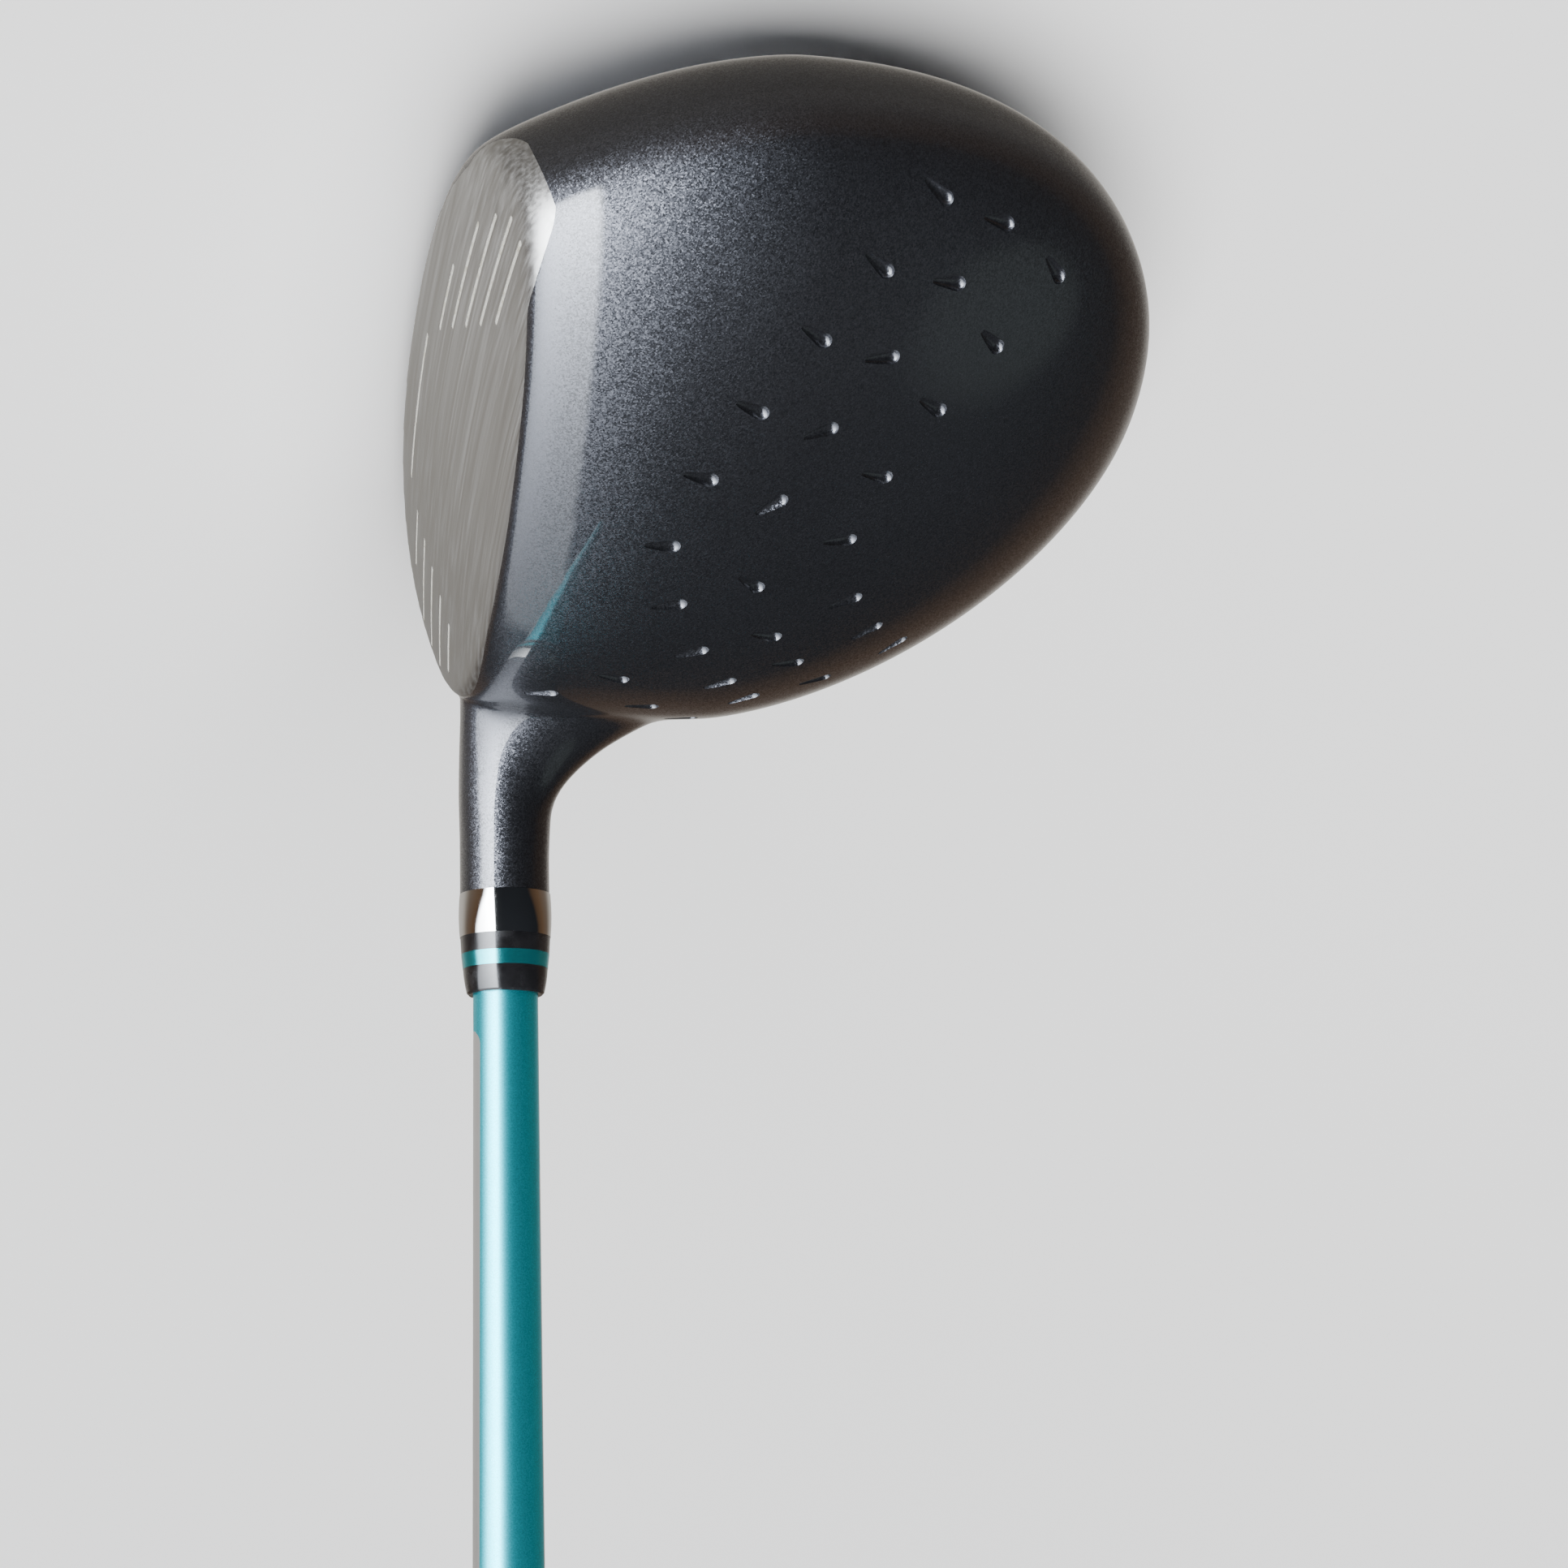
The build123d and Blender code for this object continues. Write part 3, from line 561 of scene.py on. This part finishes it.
def head_form():
    """Head and neck as one closed skin, smooth where they meet."""
    form = skin("head_form", form_rings(0, 0, RIM_ROUND))
    neck = skin("neck_form", neck_rings())
    combine(form, neck, "UNION")
    remesh = form.modifiers.new("remesh", "REMESH")
    remesh.mode = "VOXEL"
    remesh.voxel_size = VOXEL * MM
    bake(form)
    group = form.vertex_groups.new(name="blend")
    for vertex in form.data.vertices:
        weight = blend_weight(vertex.co)
        if weight > 0.001:
            group.add([vertex.index], weight, "REPLACE")
    blend = form.modifiers.new("blend", "SMOOTH")
    blend.factor, blend.iterations, blend.vertex_group = 0.5, 90, "blend"
    polish = form.modifiers.new("polish", "SMOOTH")
    polish.factor, polish.iterations = 0.5, 8
    bake(form)
    thicken_hosel(form)
    return form



def slab(name, x_back, low_y, high_y, front=80.0, step=1.5):
    """Closed block in front of a curved back surface given by x_back(y, z)."""
    columns = int((high_y - low_y) / step) + 1
    heights = [-10 + step * row for row in range(61)]
    widths = [low_y + (high_y - low_y) * column / (columns - 1) for column in range(columns)]
    points = [(x_back(y, z), y, z) for y in widths for z in heights]
    points += [(front, y, z) for y in widths for z in heights]
    rows, half = len(heights), len(widths) * len(heights)
    faces = []
    for column in range(columns - 1):
        for row in range(rows - 1):
            a = column * rows + row
            b = a + rows
            faces.append((a, a + 1, b + 1, b))
            faces.append((half + a, half + b, half + b + 1, half + a + 1))
    for column in range(columns - 1):
        for a, turn in ((column * rows, 1), (column * rows + rows - 1, -1)):
            b = a + rows
            faces.append((a, b, half + b, half + a)[::turn])
    for row in range(rows - 1):
        for a, turn in ((row, -1), ((columns - 1) * rows + row, 1)):
            faces.append((a, a + 1, half + a + 1, half + a)[::turn])
    return mesh_object(name, points, faces)


# ---------------------------------------------------------------- the head's three outer pieces
BARE_DEPTH = 0.12        # the bare metal ends where the rim has fallen this far under the bulged face,
BARE_TOE_DEPTH = 4.3     # this far at the toe
BARE_HEEL_DEPTH = 0.8    # and this much further at the heel
BARE_TOE = -47.8         # toe end of the bare metal
BARE_HEEL = 59.0
BARE_CORNER = 3.0
HOSEL_CLEAR = 8.6        # the bare metal stays this far from the shaft line
SCORE_LOW_Z, SCORE_PITCH, SCORE_WIDTH, SCORE_DEPTH = 12.0, 4.5, 0.9, 0.4
SCORE_TOE_OUTER = (-19.5, -31.5, -37.0, -40.5, -40.0)
SCORE_HEEL_OUTER = (41.0, 48.5, 49.5, 49.0, 45.5)
WALL = 1.2
TUBE_R, BORE_R, SEAT_U = 7.4, 5.85, 14.0
WEIGHT_AT, WEIGHT_TILT, WEIGHT_PORT_R, WEIGHT_FLOOR = (-42.0, -4.5, 7.0), radians(19), 8.3, 6.9
BADGE_AT, BADGE_TILT, BADGE_R, BADGE_POCKET = (-21.0, -3.0, 1.7), radians(9.5), 9.05, 0.65
PARTING_X, PARTING_Z, PARTING_SLOPE = 51.2, 26.1, 3.4 / 116.2
DIMPLE_LENGTH, DIMPLE_TAIL_R, DIMPLE_HEAD_R = 4.0, 0.42, 1.2
DIMPLE_TAIL_LIFT, DIMPLE_HEAD_LIFT = 0.1, 0.3
DIMPLE_MIDDLE_Y = -3.5
DIMPLE_ROWS = (
    # front point, slope, bend, offsets on the toe side and the heel side, heading and its change per mm
    (10.0, 0.154, 0.0089, (0, 12.6, 24.0, 34.9, 44.0, 51.8), (12.4, 24.2, 33.9, 40.4), 0.0, 0.95),
    (-3.0, 0.100, 0.0105, (7.8, 20.3, 31.3, 41.0, 47.5), (7.8, 20.6, 29.2, 37.3), -48.0, 1.35),
    (-16.2, 0.100, 0.0135, (0, 11.9, 22.8, 31.6, 39.6), (14.0, 23.4, 31.0), 0.0, 1.40),
)
FRONT_DIMPLES = ((11.2, 28.3, -21), (4.6, 38.8, -3), (-3.5, 46.5, 4), (20.4, 35.6, 25), (13.2, 48.0, 10))


def down_and_back(tilt):
    """Direction out of the sole, straight down and turned towards the tail."""
    return Vector((-sin(tilt), 0, -cos(tilt)))


def face_back(y, z):
    """Back of the bare metal of the face: its edge, with rounded corners at the toe."""
    near_toe = min(max(y - BARE_TOE, 0), BARE_CORNER)
    corner = BARE_CORNER - (BARE_CORNER**2 - (BARE_CORNER - near_toe) ** 2) ** 0.5
    toe = BARE_TOE_DEPTH * (max(-33 - y, 0) / 15) ** 2
    heel = BARE_HEEL_DEPTH * smoothstep(20, 45, y)
    return face_x(y, z) - BARE_DEPTH - toe - heel + 0.5 * corner


def score_rings(z, start, end):
    """Round-ended groove across the face."""
    half = SCORE_WIDTH / 2
    ends = [half * (1 - cos(step * pi / 12)) for step in range(1, 7)]
    middle = int((end - start) / 1.5)
    stations = [start + near for near in ends]
    stations += [start + half + (end - start - 2 * half) * step / middle for step in range(1, middle)]
    stations += [end - near for near in reversed(ends)]
    rings = []
    for y in stations:
        near = min(y - start, end - y, half)
        reach = (half**2 - (half - near) ** 2) ** 0.5
        back = face_x(y, z, SCORE_DEPTH)
        rings.append([(back, y, z - reach), (60, y, z - reach), (60, y, z + reach), (back, y, z + reach)])
    return rings


def score_grooves():
    lines = [score_rings(SCORE_LOW_Z, -2.0, 27.0)]
    for row, (toe_end, heel_end) in enumerate(zip(SCORE_TOE_OUTER, SCORE_HEEL_OUTER)):
        level = SCORE_LOW_Z + SCORE_PITCH * (row + 1)
        lines.append(score_rings(level, toe_end, -7.0 - 4.4 * row))
        lines.append(score_rings(level, 29.5 + 1.45 * row, heel_end))
    return skin("score_grooves", *lines)


def crown_z(x, y):
    """Height of the crown over a place in plan."""
    toe, heel, skirt, crown, sole = head_station(x)
    along = abs((2 * y - toe - heel) / (heel - toe)) ** 1.97
    return skirt + (crown - skirt) * max(1 - along, 0) ** (1 / 1.95)


def dimple_places():
    """Middle of each dimple in plan, and its heading in degrees from straight back to the middle line."""
    places = list(FRONT_DIMPLES)
    for front, slope, bend, toe_offsets, heel_offsets, heading, turn in DIMPLE_ROWS:
        sides = [(-1, offset) for offset in toe_offsets] + [(1, offset) for offset in heel_offsets]
        for side, offset in sides:
            x = front - slope * offset - bend * offset**2
            places.append((x, DIMPLE_MIDDLE_Y + side * offset, side * (heading + turn * offset)))
    return places


def dimple_rings(x, y, heading):
    """Tapered groove in the crown with a round deep head, as the rings of its tool."""
    slope_x = crown_z(x + 0.5, y) - crown_z(x - 0.5, y)
    slope_y = crown_z(x, y + 0.5) - crown_z(x, y - 0.5)
    outward = Vector((-slope_x, -slope_y, 1)).normalized()
    turn = radians(heading)
    ahead = Vector((-cos(turn), -sin(turn), 0))
    ahead = (ahead - outward * ahead.dot(outward)).normalized()
    aside = outward.cross(ahead)
    middle = Vector((x, y, crown_z(x, y))) - ahead * (DIMPLE_LENGTH + DIMPLE_HEAD_R) / 2
    profile = []
    for step in range(9):
        share = step / 8
        lift = DIMPLE_TAIL_LIFT + (DIMPLE_HEAD_LIFT - DIMPLE_TAIL_LIFT) * share
        radius = DIMPLE_TAIL_R + (DIMPLE_HEAD_R - DIMPLE_TAIL_R) * share**0.8
        profile.append((DIMPLE_LENGTH * share, lift, radius))
    for step in range(1, 7):
        angle = step * pi / 12
        reach = DIMPLE_LENGTH + DIMPLE_HEAD_R * sin(angle)
        profile.append((reach, DIMPLE_HEAD_LIFT, DIMPLE_HEAD_R * max(cos(angle), 0.04)))
    rings = []
    for reach, lift, radius in profile:
        centre = middle + ahead * reach + outward * lift
        angles = [2 * pi * step / 28 for step in range(28)]
        rings.append([tuple(centre + (aside * cos(a) + outward * sin(a)) * radius) for a in angles])
    return rings


def cavity():
    """The hollow inside the head, clear of the hosel tube and of the boss round the weight."""
    hollow = skin("cavity", form_rings(WALL, 4.0, 1.0, 60))
    combine(hollow, turned("tube", [(TUBE_R, 0), (TUBE_R, HOSEL_END)]), "DIFFERENCE")
    boss = rod("boss", WEIGHT_AT, down_and_back(WEIGHT_TILT), WEIGHT_PORT_R + 2.2, -13.4, 4)
    combine(hollow, boss, "DIFFERENCE")
    return hollow


def add_head():
    """Upper shell, sole shell and face plate, cut from one form."""
    body = head_form()
    combine(body, turned("hosel_trim", [(20, HOSEL_END), (20, HOSEL_END + 20)]), "DIFFERENCE")
    face = copy_of(body, "face_metal")
    front = slab("front", face_back, BARE_TOE, BARE_HEEL)
    combine(front, turned("hosel_clear", [(HOSEL_CLEAR, 36), (HOSEL_CLEAR, 100)]), "DIFFERENCE")
    combine(face, front, "INTERSECT", keep_tool=True)
    combine(face, score_grooves(), "DIFFERENCE")
    combine(body, front, "DIFFERENCE")
    combine(body, cavity(), "DIFFERENCE")
    combine(body, turned("bore", [(BORE_R, SEAT_U + 3), (BORE_R, HOSEL_END + 2)]), "DIFFERENCE")
    combine(body, turned("screw_way", [(2.9, SEAT_U - 1), (2.9, SEAT_U + 4)]), "DIFFERENCE")
    combine(body, turned("screw_port", [(4.9, -10), (4.9, SEAT_U)]), "DIFFERENCE")
    out = down_and_back(WEIGHT_TILT)
    combine(body, rod("weight_port", WEIGHT_AT, out, WEIGHT_PORT_R, -WEIGHT_FLOOR, 8), "DIFFERENCE")
    combine(body, rod("weight_hole", WEIGHT_AT, out, 2.05, -12.9, 0), "DIFFERENCE")
    under = down_and_back(BADGE_TILT)
    combine(body, rod("badge_pocket", BADGE_AT, under, BADGE_R, -BADGE_POCKET, 4), "DIFFERENCE")
    upper = copy_of(body, "crown")
    edge = [(x, PARTING_Z + (x - PARTING_X) * PARTING_SLOPE) for x in (-100, 100)]
    rings = [[(x, y, z) for x, z in edge] + [(x, y, 120) for x, z in reversed(edge)] for y in (-120, 160)]
    over = skin("over", rings)
    combine(upper, over, "INTERSECT", keep_tool=True)
    combine(body, over, "DIFFERENCE")
    combine(upper, skin("dimples", *[dimple_rings(*place) for place in dimple_places()]), "DIFFERENCE")
    body.name = "sole"
    for piece, node in ((upper, "upper_shell"), (body, "sole_shell"), (face, "face_plate")):
        shade(piece)
        piece.data.materials.clear()
        piece.data.materials.append(NODES[node].data.materials[0])
        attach(piece, "head")
        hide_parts(node)


# ---------------------------------------------------------------- grip
GRIP_PITCH = 7.6         # along the shaft line, from one diamond of the tread to the next
GRIP_DIAMONDS = 9        # round the grip
GRIP_GROOVE, GRIP_GROOVE_DEPTH = 0.10, 0.35
GRIP_MOUTH, GRIP_PLAIN_END = 9.0, 12.0
GRIP_BORE_LIMIT = 8.5    # every radius under this belongs to the bore


def grip_outline():
    """Outer radius at each distance from the ground, and the radius of the bore, read off the CAD grip."""
    outer, bore = {}, []
    for vertex in NODES["grip"].data.vertices:
        place = NODES["grip"].matrix_world @ vertex.co / MM - SHAFT_FOOT / MM
        u = place.dot(SHAFT_DIR)
        radius = (place - SHAFT_DIR * u).length
        if radius < GRIP_BORE_LIMIT:
            bore.append((u, radius))
        else:
            outer[round(u, 1)] = max(outer.get(round(u, 1), 0), radius)
    return sorted(outer.items()), min(bore), max(bore)


def grip_tread(u, angle, low, high):
    """Depth of the tread at a place: two sets of crossed spiral grooves, with plain ends."""
    if not low + GRIP_MOUTH < u < high - GRIP_PLAIN_END:
        return 0.0
    turn = angle / (2 * pi) * GRIP_DIAMONDS
    depth = 0.0
    for side in (1, -1):
        place = (turn + side * (u - low) / GRIP_PITCH) % 1
        depth = max(depth, 1 - smoothstep(0, GRIP_GROOVE, abs(place - 0.5)))
    return GRIP_GROOVE_DEPTH * depth


def add_grip():
    """Rubber grip with a crossed tread, inside the outline of the CAD grip."""
    outer, mouth, top = grip_outline()
    ends = outer[0][0], outer[-1][0]
    stations = int((ends[1] - ends[0]) / 0.65)
    angles = [2 * pi * step / 132 for step in range(132)]
    rings = []
    for station in range(stations + 1):
        u = ends[0] + (ends[1] - ends[0]) * station / stations
        index = min(max(i for i, (near, radius) in enumerate(outer) if near <= u + 1e-6), len(outer) - 2)
        (before, first), (after, second) = outer[index : index + 2]
        radius = first + (second - first) * (u - before) / (after - before)
        rings.append([along_shaft(u, radius - grip_tread(u, angle, *ends), angle) for angle in angles])
    for u, radius in (top, mouth):
        rings.append([along_shaft(u, radius, angle) for angle in angles])
    piece = tube("grip_tread", rings)
    shade(piece, 40)
    piece.data.materials.append(NODES["grip"].data.materials[0])
    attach(piece, "shaft_and_grip")
    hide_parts("grip")


# ---------------------------------------------------------------- materials
def flake_paint(name, colour, tilt=0.22):
    """Dark metal-flake paint under a clear coat: every flake faces its own way."""
    material, tree, shader = new_material(name, colour, 0.4, 0.9)
    flakes = texture(tree, "Voronoi", 5600)
    centred = tree.nodes.new("ShaderNodeVectorMath")
    centred.operation = "SUBTRACT"
    centred.inputs[1].default_value = (0.5, 0.5, 0.5)
    tree.links.new(flakes.outputs["Color"], centred.inputs[0])
    leaning = tree.nodes.new("ShaderNodeVectorMath")
    leaning.operation = "MULTIPLY_ADD"
    leaning.inputs[1].default_value = (tilt, tilt, tilt)
    surface = tree.nodes.new("ShaderNodeNewGeometry")
    tree.links.new(centred.outputs[0], leaning.inputs[0])
    tree.links.new(surface.outputs["Normal"], leaning.inputs[2])
    unit = tree.nodes.new("ShaderNodeVectorMath")
    unit.operation = "NORMALIZE"
    tree.links.new(leaning.outputs[0], unit.inputs[0])
    tree.links.new(unit.outputs[0], shader.inputs["Normal"])
    dark = tuple(c * 0.72 for c in colour)
    light = tuple(c * 1.35 for c in colour)
    link_ramp(tree, flakes.outputs["Color"], shader.inputs["Base Color"], dark, light, 0.1, 0.9)
    wipe = texture(tree, "Noise", 26, 4)
    link_ramp(tree, wipe.outputs["Fac"], shader.inputs["Roughness"], 0.30, 0.38)
    coat(shader, 1.0, 0.035)
    return material


def brushed_face():
    """Bare brushed metal, lined from heel to toe, with scuffs and dirt towards the toe, and painted shade
    that darkens it towards the heel.
    """
    material, tree, shader = new_material("face_metal", (0.42, 0.40, 0.37), 0.38, 1.0)
    lines = texture(tree, "Noise", 1500, 5, (1, 0.012, 1))
    tone = texture(tree, "Noise", 45, 5, (1, 0.35, 1))
    dirt = texture(tree, "Noise", 170, 6, (1, 0.5, 1))
    brushed = tree.nodes.new("ShaderNodeValToRGB")
    brushed.color_ramp.elements[0].position = 0.3
    brushed.color_ramp.elements[1].position = 0.7
    brushed.color_ramp.elements[0].color = (0.42, 0.415, 0.40, 1)
    brushed.color_ramp.elements[1].color = (0.56, 0.55, 0.525, 1)
    tree.links.new(lines.outputs["Fac"], brushed.inputs["Fac"])
    patchy = maths(tree, "MULTIPLY", tone.outputs["Fac"], 0.4)
    toned = mix_colours(tree, patchy, brushed.outputs["Color"], (0.36, 0.352, 0.335))
    place = tree.nodes.new("ShaderNodeTexCoord")
    split = tree.nodes.new("ShaderNodeSeparateXYZ")
    tree.links.new(place.outputs["Object"], split.inputs[0])
    toeward = tree.nodes.new("ShaderNodeMapRange")
    toeward.inputs["From Min"].default_value = -0.033
    toeward.inputs["From Max"].default_value = -0.050
    tree.links.new(split.outputs["Y"], toeward.inputs["Value"])
    spots = tree.nodes.new("ShaderNodeMapRange")
    spots.inputs["From Min"].default_value = 0.53
    spots.inputs["From Max"].default_value = 0.60
    tree.links.new(dirt.outputs["Fac"], spots.inputs["Value"])
    grime = maths(tree, "MULTIPLY", maths(tree, "MULTIPLY", spots.outputs[0], toeward.outputs[0]), 0.75)
    # painted shade: the face colour darkens towards the heel, standing in for how the light falls across the
    # face
    heelward = maths(tree, "MULTIPLY", ramp_value(tree, split.outputs["Y"], -0.035, 0.055), 0.6)
    with_painted_shade = mix_colours(tree, heelward, toned, (0.14, 0.136, 0.125))
    tree.links.new(mix_colours(tree, grime, with_painted_shade, (0.07, 0.06, 0.05)), shader.inputs["Base Color"])
    link_ramp(tree, lines.outputs["Fac"], shader.inputs["Roughness"], 0.30, 0.46)
    link_bump(tree, shader, lines.outputs["Fac"], 0.12, 0.00003)
    return material


def score_paint():
    material, tree, shader = new_material("score_paint", (0.83, 0.80, 0.70), 0.55)
    wear = texture(tree, "Noise", 900, 3)
    worn, fresh = (0.66, 0.62, 0.50), (0.88, 0.86, 0.77)
    link_ramp(tree, wear.outputs["Fac"], shader.inputs["Base Color"], worn, fresh, 0.35, 0.5)
    return material


def bright_metal(name, colour, roughness, scale=700, stretch=(1, 1, 1), depth=0.00001):
    """Polished or turned metal with fine wear in its roughness."""
    material, tree, shader = new_material(name, colour, roughness, 1.0)
    wear = texture(tree, "Noise", scale, 4, stretch)
    link_ramp(tree, wear.outputs["Fac"], shader.inputs["Roughness"], roughness * 0.8, roughness * 1.25)
    link_ramp(tree, wear.outputs["Fac"], shader.inputs["Base Color"], tuple(c * 0.94 for c in colour), colour)
    link_bump(tree, shader, wear.outputs["Fac"], 0.2, depth)
    return material


def gloss_black():
    material, tree, shader = new_material("ferrule_black", (0.010, 0.010, 0.012), 0.22)
    wear = texture(tree, "Noise", 400, 4)
    link_ramp(tree, wear.outputs["Fac"], shader.inputs["Roughness"], 0.14, 0.32)
    dark, light = (0.007, 0.007, 0.008), (0.016, 0.016, 0.018)
    link_ramp(tree, wear.outputs["Fac"], shader.inputs["Base Color"], dark, light)
    coat(shader, 0.6, 0.05)
    return material


def teal_metal(name, colour, roughness):
    material, tree, shader = new_material(name, colour, roughness, 0.85)
    pearl = texture(tree, "Noise", 5200, 2)
    dark = tuple(c * 0.8 for c in colour)
    light = tuple(min(c * 1.15, 1) for c in colour)
    link_ramp(tree, pearl.outputs["Fac"], shader.inputs["Base Color"], dark, light)
    coat(shader, 0.3, 0.12)
    return material, tree, shader


FRONT_STRIP = (0.0893, 0.0023)     # where a strip starts along the shaft, and half its width, in metres
REAR_STRIP = (0.1098, 0.0017)
STRIP_END = 0.34


def strip_mask(tree, along, over, side, start, half_width):
    """1 inside a round-ended strip along the shaft on the side where side is positive."""
    before = maths(tree, "MAXIMUM", maths(tree, "SUBTRACT", start + half_width, along), 0)
    square = maths(tree, "ADD", maths(tree, "MULTIPLY", before, before), maths(tree, "MULTIPLY", over, over))
    outside = ramp_value(tree, maths(tree, "SQRT", square), half_width - 0.00006, half_width + 0.00006)
    return maths(tree, "MULTIPLY", maths(tree, "SUBTRACT", 1, outside), maths(tree, "GREATER_THAN", side, 0))


def striped_shaft():
    """Teal metallic shaft with a plain silver strip on either side, clear of any lettering."""
    material, tree, shader = teal_metal("shaft_teal", (0.03, 0.60, 0.72), 0.34)
    place = tree.nodes.new("ShaderNodeTexCoord")
    from_foot = tree.nodes.new("ShaderNodeVectorMath")
    from_foot.operation = "SUBTRACT"
    from_foot.inputs[1].default_value = SHAFT_FOOT
    tree.links.new(place.outputs["Object"], from_foot.inputs[0])
    parts = []
    for axis in (SHAFT_DIR, OVER, ACROSS):
        dot = tree.nodes.new("ShaderNodeVectorMath")
        dot.operation = "DOT_PRODUCT"
        dot.inputs[1].default_value = axis
        tree.links.new(from_foot.outputs[0], dot.inputs[0])
        parts.append(dot.outputs["Value"])
    along, over, side = parts
    front = strip_mask(tree, along, over, side, *FRONT_STRIP)
    rear = strip_mask(tree, along, over, maths(tree, "MULTIPLY", side, -1), *REAR_STRIP)
    below_end = maths(tree, "LESS_THAN", along, STRIP_END)
    strips = maths(tree, "MULTIPLY", maths(tree, "MAXIMUM", front, rear), below_end)
    paint = shader.inputs["Base Color"].links[0].from_socket
    tree.links.new(mix_colours(tree, strips, paint, (0.74, 0.74, 0.72)), shader.inputs["Base Color"])
    return material


def moulded(name, colour, roughness, scale=1600, depth=0.00003, strength=0.4):
    """Rubber, plastic or paper with a fine grain."""
    material, tree, shader = new_material(name, colour, roughness)
    grain = texture(tree, "Noise", scale, 4)
    dark = tuple(c * 0.75 for c in colour)
    light = tuple(c * 1.2 for c in colour)
    smooth, rough = roughness * 0.85, min(roughness * 1.1, 1)
    link_ramp(tree, grain.outputs["Fac"], shader.inputs["Base Color"], dark, light)
    link_ramp(tree, grain.outputs["Fac"], shader.inputs["Roughness"], smooth, rough)
    link_bump(tree, shader, grain.outputs["Fac"], strength, depth)
    return material


def dress_nodes():
    """Give every CAD node its finish."""
    steel = bright_metal("screw_steel", (0.60, 0.60, 0.59), 0.22)
    black = gloss_black()
    plastic = moulded("inner_plastic", (0.70, 0.69, 0.65), 0.5)
    rubber = moulded("grip_rubber", (0.022, 0.022, 0.024), 0.72)
    finishes = {
        "upper_shell": flake_paint("head_paint", (0.075, 0.077, 0.087)),
        "sole_shell": flake_paint("sole_paint", (0.068, 0.070, 0.079)),
        "face_plate": brushed_face(),
        "score_line_paint": score_paint(),
        "sole_badge": bright_metal("badge_metal", (0.66, 0.67, 0.68), 0.26),
        "damping_pad": moulded("inner_rubber", (0.05, 0.05, 0.05), 0.8),
        "adapter_sleeve": bright_metal("collar_metal", (0.80, 0.79, 0.765), 0.06, 260),
        "sleeve_screw": steel,
        "screw_washer": steel,
        "screw_retainer": plastic,
        "ferrule_base": black,
        "ferrule_trim_ring": teal_metal("trim_teal", (0.03, 0.42, 0.47), 0.2)[0],
        "ferrule_tip": black,
        "shaft": striped_shaft(),
        "tip_plug": plastic,
        "grip_tape": moulded("tape", (0.72, 0.69, 0.60), 0.8),
        "grip": rubber,
        "grip_cap": rubber,
        "rear_weight": bright_metal("weight_metal", (0.48, 0.48, 0.49), 0.34, 900),
        "weight_screw": steel,
    }
    for name, material in finishes.items():
        mesh = NODES[name].data
        mesh.materials.clear()
        mesh.materials.append(material)


add_camera()
add_lights()
add_world()
add_floor()
dress_nodes()
add_head()
add_grip()
